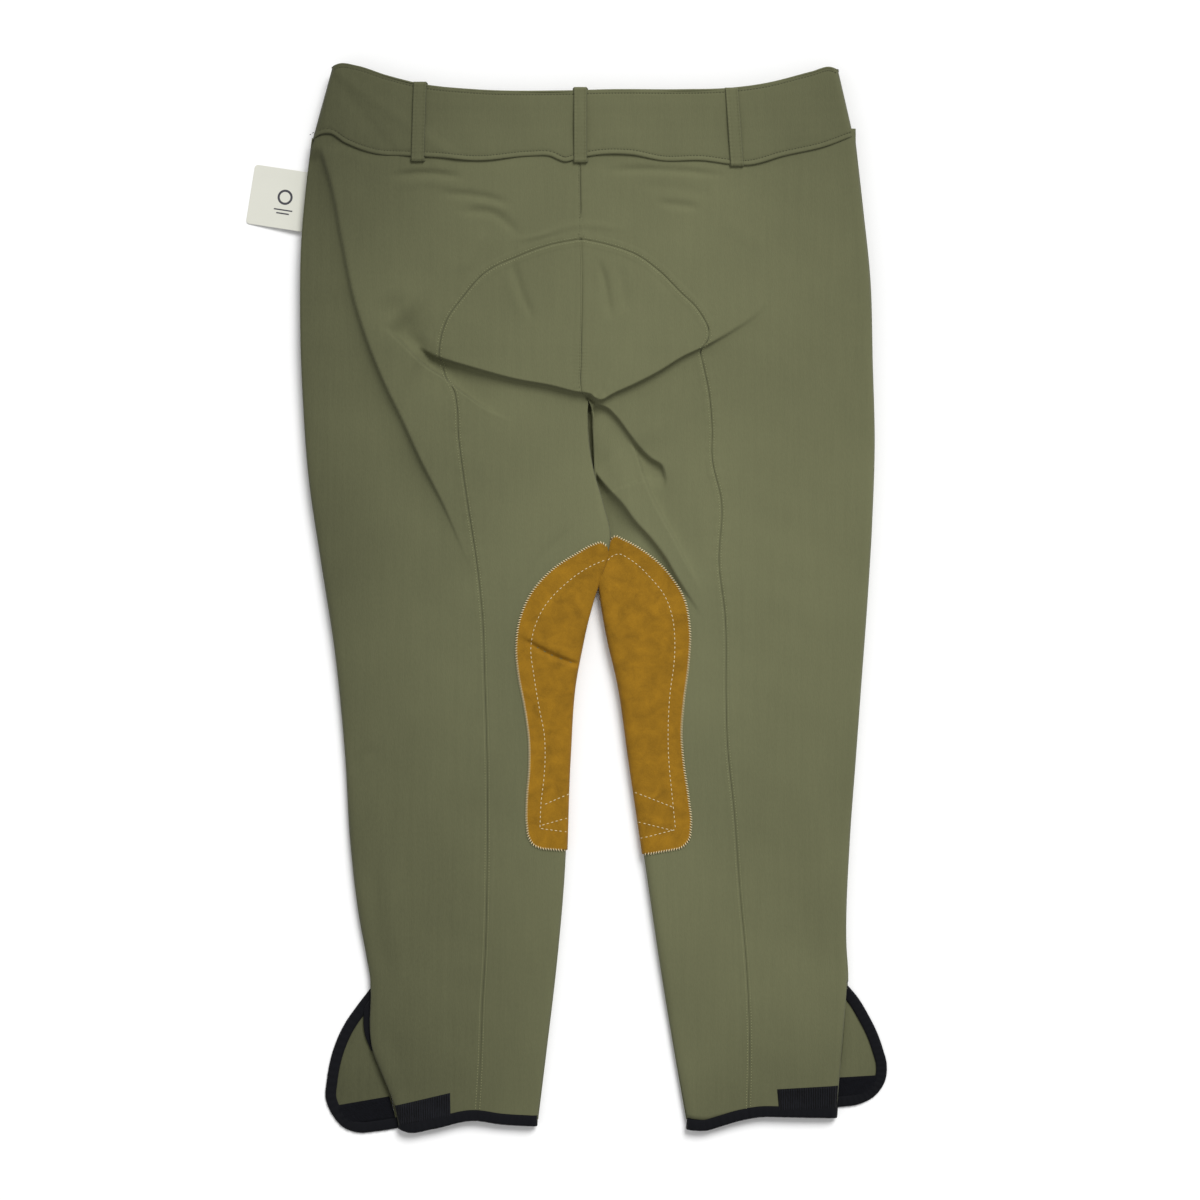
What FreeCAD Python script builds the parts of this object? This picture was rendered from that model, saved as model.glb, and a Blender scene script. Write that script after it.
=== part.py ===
"""Knee-patch riding breeches, lying flat on their front with the back uppermost.

+Y runs from the hems to the waist, +X to the side of the right leg, +Z up from the floor.
The origin is the crotch point on the floor.  Millimetres.

The cloth is drawn as layers.  A front layer lies on the floor and rises to the waistband,
a back layer lies above it, and upright seam strips close the legs at their edges.
"""

import FreeCAD
import Part
import os

import Sketcher

SIDES = {"left": -1, "right": 1}

# Driving dimensions: alias, value, meaning.  Half widths count from the centre line, and
# drops count down from the crotch.
SIZES = [
    ("cloth", 1.2, "thickness of one layer of stretch twill"),
    ("suede", 1.2, "thickness of a knee patch"),
    ("tape", 1.2, "thickness of touch tape"),
    ("bind", 1.2, "thickness of one layer of edge binding"),
    ("bind_width", 9.0, "width of the edge binding"),
    ("allow", 8.0, "seam allowance inside the waistband"),
    ("waist_gap", 6.4, "free height between the two waistband facings"),
    ("fit_gap", 0.3, "clearance between pieces that move past each other"),
    ("sew_gap", 0.1, "clearance between pieces sewn side by side"),
    ("block", 60.0, "height of the blocks that outlines are cut from"),
    ("spare", 60.0, "how far a block reaches past the garment"),
    # levels of the back layer
    ("leg_z", 12.0, "underside of the back layer at the thigh"),
    ("hem_z", 8.0, "underside of the back layer at the hem"),
    ("leg_fall", 120.0, "depth where the back layer reaches the thigh level"),
    ("seat_fall", 80.0, "height where the back layer starts to fall"),
    ("fly_flat", 11.6, "length of raised front below the zip"),
    ("front_slope", 60.0, "length over which the front layer rises"),
    ("step_near", 4.0, "distance from the patch where the front layer is up on it"),
    ("step_far", 20.0, "distance from the patch where the front layer starts to rise"),
    # waistband
    ("band_top_half", 213.0, "half width at the top edge"),
    ("band_top_side", 318.7, "height of the top edge at the sides"),
    ("band_top_back", 296.0, "height of the top edge at centre back"),
    ("band_low_half", 230.0, "half width at the lower edge"),
    ("band_low_side", 256.0, "height of the lower edge at the sides"),
    ("band_low_back", 238.0, "height of the lower edge at centre back"),
    ("front_dip", 24.0, "how far the waist is lower at centre front"),
    ("elastic_gap", 2.0, "clearance between the seam allowance and the elastic"),
    # outer edge of a leg, from the waist down
    ("hip_half", 242.0, "half width at the hip"),
    ("hip_height", 102.0, "height of the hip station"),
    ("thigh_half", 233.0, "half width at the thigh"),
    ("thigh_drop", 102.0, "depth of the thigh station"),
    ("knee_half", 219.0, "half width at the knee"),
    ("knee_drop", 225.0, "depth of the knee station"),
    ("calf_half", 212.0, "half width at the calf"),
    ("calf_drop", 340.0, "depth of the calf station"),
    ("slit_half", 202.0, "half width at the top of the side slit"),
    ("slit_length", 120.0, "length of the side slit above the hem"),
    ("hem_half", 188.0, "half width at the hem"),
    ("inseam", 583.0, "depth of the hem"),
    ("swing", 25.0, "how far both hems lie towards +X"),
    # inner edge of a leg
    ("fork_in", 0.4, "inner edge at the crotch"),
    ("patch_top_in", 3.0, "inner edge at the top of the patch"),
    ("patch_mid_in", 19.5, "inner edge at the middle of the patch"),
    ("patch_low_in", 34.0, "inner edge at the foot of the patch"),
    ("shin_in", 48.0, "inner edge at the shin"),
    ("shin_up", 113.0, "height of the shin station above the hem"),
    ("hem_in", 64.0, "inner edge at the hem"),
    # seam between the seat panel and the outer panel
    ("seat_top", 170.0, "height of the seat arc at centre back"),
    ("seat_bow", 137.0, "height of the seat arc half way round"),
    ("seat_bow_half", 85.0, "half width of the seat arc half way round"),
    ("seat_half", 117.0, "half width of the seat arc at its foot"),
    ("seat_foot", 85.0, "height of the foot of the seat arc"),
    ("seam_thigh_half", 104.5, "leg seam at the thigh"),
    ("seam_thigh_drop", 80.0, "depth of that station"),
    ("seam_knee_half", 102.5, "leg seam at the knee"),
    ("seam_calf_half", 107.0, "leg seam at the calf"),
    ("seam_calf_drop", 380.0, "depth of that station"),
    ("seam_hem_half", 115.0, "leg seam at the hem"),
    # knee patch
    ("patch_top", 84.0, "depth of its top"),
    ("patch_mid", 217.0, "depth of its middle"),
    ("patch_low", 350.0, "depth of its foot"),
    ("patch_shoulder", 40.0, "back edge at the shoulder"),
    ("patch_shoulder_drop", 101.0, "depth of the shoulder"),
    ("patch_bulge", 73.0, "back edge at its widest"),
    ("patch_bulge_drop", 165.0, "depth of its widest"),
    ("patch_nip", 64.5, "back edge at its narrowest"),
    ("patch_nip_drop", 250.0, "depth of its narrowest"),
    ("patch_corner", 12.0, "radius of the rounded foot corner"),
    ("patch_foot", 70.0, "back edge near the foot"),
    ("patch_front_more", 45.0, "how much wider the patch is at the front"),
    # belt loops
    ("loop_thick", 1.6, "thickness of a belt loop"),
    ("belt_gap", 4.8, "room for the belt under a loop"),
    ("loop_width", 10.5, "width of a belt loop"),
    ("loop_foot", 6.0, "length sewn down at each end"),
    ("loop_over", 2.0, "how far a loop reaches past the band"),
    ("loop_back_left", 140.0, "place of the left back loop"),
    ("loop_back_middle", 5.0, "place of the middle back loop, left of the centre"),
    ("loop_back_right", 127.5, "place of the right back loop"),
    ("loop_front", 105.0, "place of each front loop"),
    # fly
    ("slot_half", 4.6, "half width of the slot over the zip"),
    ("zip_length", 120.0, "length of the zip"),
    ("zip_tape", 14.0, "width of one zip tape"),
    ("zip_tape_thick", 0.6, "thickness of the zip tape"),
    ("coil_width", 2.4, "width of one coil"),
    ("coil_thick", 1.6, "thickness of the coil"),
    ("coil_in", 0.4, "half the gap between the coils"),
    ("slider_half", 4.0, "half width of the slider"),
    ("slider_length", 9.0, "length of the slider"),
    ("plate", 0.7, "thickness of each slider plate"),
    ("post_half", 0.2, "half width of the slider's post"),
    ("post_length", 2.5, "length of the slider's post"),
    ("lug", 0.7, "thickness of a lug that carries the pull"),
    ("knuckle", 1.1, "radius of the pull's knuckle"),
    ("knuckle_half", 1.4, "half length of the pull's knuckle"),
    ("pin", 0.4, "radius of the pull's pin"),
    ("pin_gap", 0.1, "clearance around the pin"),
    ("pull_half", 2.6, "half width of the pull"),
    ("pull_length", 22.0, "length of the pull"),
    ("pull_thick", 0.8, "thickness of the pull"),
    ("stop_length", 2.5, "length of a zip stop"),
    ("shield_half", 22.0, "half width of the fly shield"),
    ("shield_room", 0.5, "clearance between the slider and the fly shield"),
    ("shield_foot", 4.0, "width of the sewn edge of the fly shield"),
    # hook and bar
    ("tab_reach", 38.0, "how far the underlap passes the centre front"),
    ("tab_sewn", 15.0, "how far the underlap reaches the other way"),
    ("tab_foot", 7.0, "width of its sewn edge"),
    ("tab_height", 40.0, "height of the underlap"),
    ("tab_up", 8.0, "how far the underlap sits above the band's lower edge"),
    ("hook_size", 12.0, "size of a hook plate"),
    ("hook_thick", 0.5, "thickness of a hook plate"),
    ("hook_lip", 2.0, "length of the lip of a hook"),
    ("hook_pitch", 20.0, "distance between the two hooks"),
    ("hook_place", 16.0, "place of the hooks past the centre front"),
    ("bar_thick", 0.8, "thickness of a bar"),
    ("bar_width", 1.6, "width of a bar"),
    # calf closure
    ("flap_shoulder", 224.0, "half width of the flap at its shoulder"),
    ("flap_shoulder_up", 91.0, "height of the shoulder above the hem"),
    ("flap_bulge", 240.0, "half width of the flap at its widest"),
    ("flap_bulge_up", 40.0, "height of its widest above the hem"),
    ("flap_round", 231.0, "half width at its foot corner"),
    ("flap_round_up", 9.0, "height of its foot corner above the hem"),
    ("flap_foot", 210.0, "half width where its foot turns in"),
    ("hook_tape_length", 50.0, "length of the hook tape"),
    ("tape_width", 18.0, "width of the touch tape"),
    ("tape_up", 17.0, "height of the middle of the touch tape above the hem"),
    ("hook_tape_in", 3.0, "distance of the hook tape from the slit edge"),
    ("loop_tape_in", 5.0, "distance of the loop tape from the flap's root"),
    ("slit_bind", 5.0, "width of the binding that shows along the slit"),
    # hang tag
    ("card_length", 89.0, "length of the card"),
    ("card_width", 50.8, "width of the card"),
    ("card_thick", 0.5, "thickness of the card"),
    ("card_round", 3.0, "corner radius of the card"),
    ("card_hole", 1.5, "radius of its string hole"),
    ("card_hole_in", 8.0, "distance of the hole from the end"),
    ("card_x", -207.3, "place of the hole across"),
    ("card_y", 197.6, "place of the hole up"),
    ("card_turn", -9.1, "how far the card lies turned, in degrees"),
    ("card_lean", 4.4, "how far its inner end leans up against the cloth, in degrees"),
]

# Heights of the layers and other places worked out from the sizes above.
LEVELS = [
    ("band_front_z", "=loop_thick + belt_gap"),
    ("front_z", "=band_front_z + cloth"),
    ("facing_front_z", "=front_z + cloth"),
    ("waist_floor_z", "=facing_front_z + cloth"),
    ("facing_back_z", "=waist_floor_z + waist_gap"),
    ("back_z", "=facing_back_z + cloth"),
    ("band_back_z", "=back_z + cloth"),
    ("band_skin_z", "=band_back_z + cloth"),
    ("front_low", "=band_low_back - front_dip"),
    ("front_top", "=band_top_back - front_dip"),
    ("band_slant", "=(band_low_half - band_top_half) / (band_top_side - band_low_side)"),
    ("zip_top", "=front_low - 2 * cloth"),
    ("zip_base", "=zip_top - zip_length"),
    ("front_rise", "=zip_base - fly_flat"),
    ("front_flat", "=front_rise - front_slope"),
    ("slit_drop", "=inseam - slit_length"),
    ("shin_drop", "=inseam - shin_up"),
    ("flap_shoulder_drop", "=inseam - flap_shoulder_up"),
    ("flap_bulge_drop", "=inseam - flap_bulge_up"),
    ("flap_round_drop", "=inseam - flap_round_up"),
    ("tape_drop", "=inseam - tape_up"),
    ("coil_z", "=facing_front_z + zip_tape_thick / 2 - coil_thick / 2"),
    ("slider_z", "=coil_z - fit_gap - plate"),
    ("slider_skin_z", "=coil_z + coil_thick + fit_gap"),
    ("slider_top", "=zip_top - stop_length - fit_gap"),
    ("pin_z", "=slider_z - fit_gap - knuckle"),
    ("pin_y", "=slider_top - slider_length / 2"),
    ("shield_z", "=slider_skin_z + plate + shield_room"),
    ("tab_z", "=waist_floor_z + hook_thick + fit_gap + bar_thick"),
    ("flap_skin_z", "=suede + cloth"),
]

doc = FreeCAD.newDocument("breeches")
nodes = {}


def make_sheet():
    sheet = doc.addObject("Spreadsheet::Sheet", "Sizes")
    rows = [(alias, str(value), note) for alias, value, note in SIZES]
    rows += [(alias, formula, "worked out") for alias, formula in LEVELS]
    for row, (alias, text, note) in enumerate(rows, start=1):
        sheet.set(f"A{row}", alias)
        sheet.set(f"B{row}", text)
        sheet.set(f"C{row}", note)
        sheet.setAlias(f"B{row}", alias)
    doc.recompute()
    return sheet


ALIASES = {row[0] for row in SIZES + LEVELS}
sheet = make_sheet()


def bound(text):
    """The formula with each alias written as a reference to the sheet."""
    out = ""
    word = ""
    for letter in f"{text} ":
        if letter.isalnum() or letter in "_.":
            word += letter
            continue
        out += f"Sizes.{word}" if word in ALIASES else word
        out += letter
        word = ""
    return out.strip()


def size(text):
    """The number that the formula gives."""
    return float(sheet.evalExpression(bound(text)))


# ---------------------------------------------------------------- outlines


def above(side, half, height):
    """A point above the crotch, on one side of the centre line."""
    return (f"{side} * ({half})", f"{height}")


def below(side, half, drop):
    """A point below the crotch, moved across as the legs swing."""
    return (f"{side} * ({half}) + swing * ({drop}) / inseam", f"-1 * ({drop})")


def arc(start, via):
    """A point whose edge to the next point is an arc through another one."""
    return start + via


def pin_vertex(sketch, geometry, end, x, y):
    for kind, text in (("DistanceX", x), ("DistanceY", y)):
        rule = Sketcher.Constraint(kind, -1, 1, geometry, end, size(text))
        index = sketch.addConstraint(rule)
        sketch.setExpression(f"Constraints[{index}]", bound(text))


def draw(sketch, points):
    """A closed outline, each corner tied to the sheet."""
    spots = [FreeCAD.Vector(size(p[0]), size(p[1]), 0) for p in points]
    edges = []
    for i, point in enumerate(points):
        start = spots[i]
        end = spots[(i + 1) % len(points)]
        if len(point) == 4:
            middle = FreeCAD.Vector(size(point[2]), size(point[3]), 0)
            shape = Part.Arc(start, middle, end)
            edge = sketch.addGeometry(shape, False)
            first = sketch.getPoint(edge, 1)
            ends = (1, 2) if first.distanceToPoint(start) < 1e-6 else (2, 1)
            mark = sketch.addGeometry(Part.Point(middle), True)
            pin_vertex(sketch, mark, 1, point[2], point[3])
            sketch.addConstraint(Sketcher.Constraint("PointOnObject", mark, 1, edge))
        else:
            edge = sketch.addGeometry(Part.LineSegment(start, end), False)
            ends = (1, 2)
        edges.append((edge, ends))
    for i, (edge, ends) in enumerate(edges):
        following, next_ends = edges[(i + 1) % len(edges)]
        join = Sketcher.Constraint("Coincident", edge, ends[1], following, next_ends[0])
        sketch.addConstraint(join)
        pin_vertex(sketch, edge, ends[0], points[i][0], points[i][1])


def draw_circle(sketch, x, y, radius):
    centre = FreeCAD.Vector(size(x), size(y), 0)
    circle = Part.Circle(centre, FreeCAD.Vector(0, 0, 1), size(radius))
    edge = sketch.addGeometry(circle, False)
    pin_vertex(sketch, edge, 3, x, y)
    index = sketch.addConstraint(Sketcher.Constraint("Radius", edge, size(radius)))
    sketch.setExpression(f"Constraints[{index}]", bound(radius))


# ---------------------------------------------------------------- bodies


def new_sketch(body, role):
    sketch = body.newObject("Sketcher::SketchObject", f"{body.Name}_outline")
    plane = [p for p in body.Origin.OriginFeatures if p.Role == role][0]
    sketch.AttachmentSupport = (plane, [""])
    sketch.MapMode = "FlatFace"
    return sketch


def plate_body(label, points, thick, level="0", holes=()):
    """An outline on the floor plane, given a thickness and lifted to its level."""
    body = doc.addObject("PartDesign::Body", label)
    sketch = new_sketch(body, "XY_Plane")
    draw(sketch, points)
    for hole in holes:
        draw_circle(sketch, *hole)
    pad = body.newObject("PartDesign::Pad", f"{label}_pad")
    pad.Profile = sketch
    pad.setExpression("Length", bound(thick))
    body.setExpression("Placement.Base.z", bound(level))
    return body


def section_body(label, points, width, x="0"):
    """An outline of height over length, given a width across."""
    body = doc.addObject("PartDesign::Body", label)
    sketch = new_sketch(body, "YZ_Plane")
    draw(sketch, points)
    pad = body.newObject("PartDesign::Pad", f"{label}_pad")
    pad.Profile = sketch
    pad.setExpression("Length", bound(width))
    body.setExpression("Placement.Base.x", bound(f"{x} - ({width}) / 2"))
    return body


def box_body(label, x, y, z, length, width, height):
    """A block with its low corner at a place."""
    box = doc.addObject("Part::Box", label)
    sizes = {"Length": length, "Width": width, "Height": height}
    places = {"Placement.Base.x": x, "Placement.Base.y": y, "Placement.Base.z": z}
    for name, text in (sizes | places).items():
        box.setExpression(name, bound(text))
    return box


def rod_body(label, x, y, z, radius, length):
    """A round rod across the garment, centred on a place."""
    rod = doc.addObject("Part::Cylinder", label)
    rod.Placement.Rotation = FreeCAD.Rotation(FreeCAD.Vector(0, 1, 0), 90)
    rod.setExpression("Radius", bound(radius))
    rod.setExpression("Height", bound(length))
    rod.setExpression("Placement.Base.x", bound(f"{x} - ({length}) / 2"))
    rod.setExpression("Placement.Base.y", bound(y))
    rod.setExpression("Placement.Base.z", bound(z))
    return rod


def joined(label, pieces):
    fuse = doc.addObject("Part::MultiFuse", label)
    fuse.Shapes = pieces
    fuse.Refine = True
    return fuse


def cut(label, base, tool):
    result = doc.addObject("Part::Cut", label)
    result.Base = base
    result.Tool = tool
    return result


def common(label, base, tool):
    result = doc.addObject("Part::Common", label)
    result.Base = base
    result.Tool = tool
    return result


def keep(name, piece):
    """Name the finished sub-part."""
    piece.Label = name
    nodes[name] = piece
    return piece


# ---------------------------------------------------------------- levels along the garment

BELOW_ALL = "-1 * (inseam + spare)"
ABOVE_ALL = "band_top_side + spare"

# Underside of the front layer and of the back layer, as height over length.
FRONT = [
    (BELOW_ALL, "suede"),
    ("-1 * (patch_top - step_near)", "suede"),
    ("-1 * (patch_top - step_far)", "0"),
    ("front_flat", "0"),
    ("front_rise", "front_z"),
    (ABOVE_ALL, "front_z"),
]
BACK = [
    (BELOW_ALL, "hem_z"),
    ("-1 * leg_fall", "leg_z"),
    ("seat_fall", "back_z"),
    (ABOVE_ALL, "back_z"),
]
FLOOR = [(BELOW_ALL, "0"), (ABOVE_ALL, "0")]


def zone(label, low, low_more, high, high_more):
    """The space between two of those lines, right across the garment."""
    under = [(y, f"{z} + {low_more}") for y, z in low]
    over = [(y, f"{z} + {high_more}") for y, z in reversed(high)]
    return section_body(label, under + over, "2 * (hip_half + spare)")


def layer(name, points, space):
    """A piece of cloth: an outline cut out of a space."""
    blank = plate_body(f"{name}_blank", points, "block")
    return common(f"{name}_cut", blank, space)


front_space = zone("front_space", FRONT, "0", FRONT, "cloth")
back_space = zone("back_space", BACK, "0", BACK, "cloth")
leg_space = zone("leg_space", FRONT, "cloth + sew_gap", BACK, "-1 * sew_gap")
over_space = zone("over_space", BACK, "cloth", BACK, "cloth + tape")
patch_space = zone("patch_space", FLOOR, "0", BACK, "cloth + suede")
core_space = zone("core_space", FLOOR, "suede", BACK, "cloth")


# ---------------------------------------------------------------- edges that pieces share


def outer_edge(side, inset="0"):
    """Outer edge of a leg, from the waistband to the top of the slit."""
    return [
        above(side, f"band_low_half - {inset}", "band_low_side"),
        above(side, f"hip_half - {inset}", "hip_height"),
        below(side, f"thigh_half - {inset}", "thigh_drop"),
        below(side, f"knee_half - {inset}", "knee_drop"),
        below(side, f"calf_half - {inset}", "calf_drop"),
        below(side, f"slit_half - {inset}", "slit_drop"),
    ]


def inner_edge(side, inset="0"):
    """Inner edge of a leg, from the hem up to the crotch."""
    return [
        below(side, f"hem_in + {inset}", "inseam"),
        below(side, f"shin_in + {inset}", "shin_drop"),
        below(side, f"patch_low_in + {inset}", "patch_low"),
        below(side, f"patch_mid_in + {inset}", "patch_mid"),
        below(side, f"patch_top_in + {inset}", "patch_top"),
        above(side, f"fork_in + {inset}", "0"),
    ]


def leg_seam(side, more):
    """Seat arc and leg seam, from the centre back down to the hem."""
    start = above(side, "sew_gap / 2", f"seat_top + {more}")
    bow = above(side, f"seat_bow_half + {more} * 0.7", f"seat_bow + {more} * 0.7")
    return [
        arc(start, bow),
        above(side, f"seat_half + {more}", "seat_foot"),
        below(side, f"seam_thigh_half + {more}", "seam_thigh_drop"),
        below(side, f"seam_knee_half + {more}", "knee_drop"),
        below(side, f"seam_calf_half + {more}", "seam_calf_drop"),
        below(side, f"seam_hem_half + {more}", "inseam"),
    ]


def band_side(side, half, low, high, share):
    """A point on the waistband's curved edge, at a share of the half width."""
    return above(side, f"({half}) * {share}", f"{low} + ({high} - {low}) * {share * share}")


# ---------------------------------------------------------------- leg panels

SEAM_TOP = "band_low_side + allow"


def panel_top(side, low, start):
    """Top edge of a panel inside the waistband, from the side to the centre."""
    raised = f"{low} + allow"
    return [
        above(side, "band_low_half - allow * band_slant - cloth - sew_gap", SEAM_TOP),
        band_side(side, "band_low_half", f"({raised})", SEAM_TOP, 0.5),
        above(side, start, raised),
    ]


def back_outer_panel(name, side):
    seam = leg_seam(side, "sew_gap / 2")
    top = list(reversed(panel_top(side, "band_low_back", "sew_gap / 2")))
    hem = [below(side, "hem_half", "inseam")]
    rising = [seam[5], seam[4], seam[3], seam[2]]
    foot = seam[1][:2] + seam[0][2:]
    points = top + outer_edge(side) + hem + rising + [foot, seam[0][:2]]
    keep(name, layer(name, points, back_space))


def seat_panel(name, side):
    points = leg_seam(side, "-1 * sew_gap / 2") + inner_edge(side)
    keep(name, layer(name, points, back_space))


def front_panel(name, side):
    slot = [
        above(side, "slot_half", "front_low + allow"),
        above(side, "slot_half", "zip_base"),
        above(side, "sew_gap / 2", "zip_base"),
    ]
    top = panel_top(side, "front_low", "slot_half")[:2]
    hem = [below(side, "hem_half", "inseam")]
    points = slot + list(reversed(inner_edge(side))) + hem
    points += list(reversed(outer_edge(side))) + top
    keep(name, layer(name, points, front_space))


def side_seam(name, side):
    """Folded seam that closes the leg along its outer edge."""
    outside = outer_edge(side)
    inside = outer_edge(side, "cloth")
    points = outside + list(reversed(inside))
    keep(name, layer(name, points, leg_space))


def inner_seam(name, side):
    """Folded seam that closes the leg along its inner edge."""
    points = inner_edge(side) + list(reversed(inner_edge(side, "cloth")))
    keep(name, layer(name, points, leg_space))


def knee_patch(name, side):
    """Suede patch that wraps round the inner edge of the knee."""
    wall = "-1 * suede"
    corner = "patch_corner * 0.2929"
    tip = below(side, f"patch_top_in + {wall}", "patch_top")
    shoulder = below(side, "patch_shoulder", "patch_shoulder_drop")
    bulge = below(side, "patch_bulge", "patch_bulge_drop")
    nip = below(side, "patch_nip", "patch_nip_drop")
    turn = below(side, "patch_foot", "patch_low - patch_corner")
    turn_via = below(side, f"patch_foot - {corner}", f"patch_low - {corner}")
    foot = below(side, "patch_foot - patch_corner", "patch_low")
    inner = [
        below(side, f"patch_low_in + {wall}", "patch_low"),
        below(side, f"patch_mid_in + {wall}", "patch_mid"),
    ]
    back_edge = [tip, shoulder, bulge, nip, arc(turn, turn_via), foot]
    around = layer(f"{name}_wrap", back_edge + inner, patch_space)
    core_points = inner_edge(side, "-1 * sew_gap")
    core_points += [above(side, "hip_half", "0"), below(side, "hip_half", "inseam")]
    core = layer(f"{name}_core", core_points, core_space)
    hollow = cut(f"{name}_hollow", around, core)
    more = "patch_front_more"
    front_edge = [
        tip,
        below(side, f"patch_shoulder + {more}", "patch_shoulder_drop"),
        below(side, f"patch_bulge + {more}", "patch_bulge_drop"),
        below(side, f"patch_nip + {more}", "patch_nip_drop"),
        below(side, f"patch_foot + {more}", "patch_low"),
    ]
    under = plate_body(f"{name}_front", front_edge + inner, "suede")
    keep(name, joined(f"{name}_whole", [hollow, under]))


# ---------------------------------------------------------------- waistband


def back_band(name, inset, low_more, thick, level):
    """A layer of the waistband across the back."""
    low_half = f"band_low_half - ({low_more}) * band_slant - {inset}"
    points = [
        arc(above(-1, f"band_top_half - {inset}", "band_top_side"), ("0", "band_top_back")),
        above(1, f"band_top_half - {inset}", "band_top_side"),
        arc(
            above(1, low_half, f"band_low_side + {low_more}"),
            ("0", f"band_low_back + {low_more}"),
        ),
        above(-1, low_half, f"band_low_side + {low_more}"),
    ]
    return plate_body(name, points, thick, level)


def front_band_points(side, inset, low_more, start):
    low = f"(front_low + {low_more})"
    side_low = f"(band_low_side + {low_more})"
    low_half = f"band_low_half - ({low_more}) * band_slant - {inset}"
    return [
        above(side, f"band_top_half - {inset}", "band_top_side"),
        band_side(side, f"band_top_half - {inset}", "front_top", "band_top_side", 0.5),
        above(side, start, "front_top"),
        above(side, start, low),
        band_side(side, low_half, low, side_low, 0.5),
        above(side, low_half, side_low),
    ]


def front_band(name, side):
    """Front half of the waistband, which wraps up round the side to the back."""
    wrap = "-1 * (sew_gap + cloth)"
    skin = plate_body(
        f"{name}_skin", front_band_points(side, wrap, "0", "sew_gap"), "cloth", "band_front_z"
    )
    wall_points = [
        above(side, "band_top_half + sew_gap", "band_top_side"),
        above(side, "band_top_half + sew_gap + cloth", "band_top_side"),
        above(side, "band_low_half + sew_gap + cloth", "band_low_side"),
        above(side, "band_low_half + sew_gap", "band_low_side"),
    ]
    height = "band_skin_z - band_front_z"
    wall = plate_body(f"{name}_side", wall_points, height, "band_front_z")
    keep(name, joined(f"{name}_whole", [skin, wall]))


def waistband():
    inside = "cloth + sew_gap"
    lining = "allow + elastic_gap"
    keep("back_waistband", back_band("back_band", "0", "0", "cloth", "band_back_z"))
    keep("back_facing", back_band("back_lining", inside, "0", "cloth", "facing_back_z"))
    middle = back_band("back_elastic", inside, lining, "cloth", "back_z")
    keep("back_waist_elastic", middle)
    for word, side in SIDES.items():
        front_band(f"front_waistband_{word}", side)
        facing = front_band_points(side, inside, "0", "sew_gap")
        keep(
            f"front_facing_{word}",
            plate_body(f"front_lining_{word}", facing, "cloth", "facing_front_z"),
        )
        core = front_band_points(side, inside, lining, "slot_half")
        keep(
            f"front_waist_elastic_{word}",
            plate_body(f"front_core_{word}", core, "cloth", "front_z"),
        )


def belt_loop(name, x, low, top, level, turned):
    """A strip sewn down at both ends, with room for the belt under it."""
    share_low = f"(({x}) / band_low_half) ^ 2"
    share_top = f"(({x}) / band_top_half) ^ 2"
    start = f"{low} + (band_low_side - {low}) * {share_low} - loop_over"
    end = f"{top} + (band_top_side - {top}) * {share_top} + loop_over"
    skin = f"{level} + {turned} * (belt_gap + loop_thick)"
    gap = f"{level} + {turned} * belt_gap"
    points = [
        (start, level),
        (start, skin),
        (end, skin),
        (end, level),
        (f"{end} - loop_foot", level),
        (f"{end} - loop_foot", gap),
        (f"{start} + loop_foot", gap),
        (f"{start} + loop_foot", level),
    ]
    keep(name, section_body(f"{name}_strip", points, "loop_width", x))


def belt_loops():
    back = {
        "belt_loop_back_left": "-1 * loop_back_left",
        "belt_loop_back_middle": "-1 * loop_back_middle",
        "belt_loop_back_right": "loop_back_right",
    }
    for name, x in back.items():
        belt_loop(name, x, "band_low_back", "band_top_back", "band_skin_z", 1)
    for word, side in SIDES.items():
        x = f"{side} * loop_front"
        belt_loop(f"belt_loop_front_{word}", x, "front_low", "front_top", "band_front_z", -1)


# ---------------------------------------------------------------- fly


def zip_half(word, side):
    """Tape and coil of one side of the zip."""
    tape_in = "coil_in + coil_width"
    low = "min(0; side)".replace("side", str(side))
    tape_x = f"{side} * ({tape_in}) + {low} * zip_tape"
    coil_x = f"{side} * coil_in + {low} * coil_width"
    keep(
        f"zip_tape_{word}",
        box_body(
            f"tape_{word}", tape_x, "zip_base", "facing_front_z",
            "zip_tape", "zip_length", "zip_tape_thick",
        ),
    )
    keep(
        f"zip_coil_{word}",
        box_body(
            f"coil_{word}", coil_x, "zip_base + stop_length", "coil_z",
            "coil_width", "zip_length - 2 * stop_length", "coil_thick",
        ),
    )


def zip_stops():
    """Stops at both ends of the coils: one across both below, one on each above."""
    whole = "2 * (coil_in + coil_width)"
    below_all = box_body(
        "stop_low", f"-1 * {whole} / 2", "zip_base", "coil_z", whole, "stop_length", "coil_thick"
    )
    tops = [
        box_body(
            f"stop_{word}", f"{side} * coil_in + min(0; {side}) * coil_width",
            "zip_top - stop_length", "coil_z", "coil_width", "stop_length", "coil_thick",
        )
        for word, side in SIDES.items()
    ]
    stops = doc.addObject("Part::Compound", "stops")
    stops.Links = [below_all] + tops
    keep("zip_stops", stops)


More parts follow.
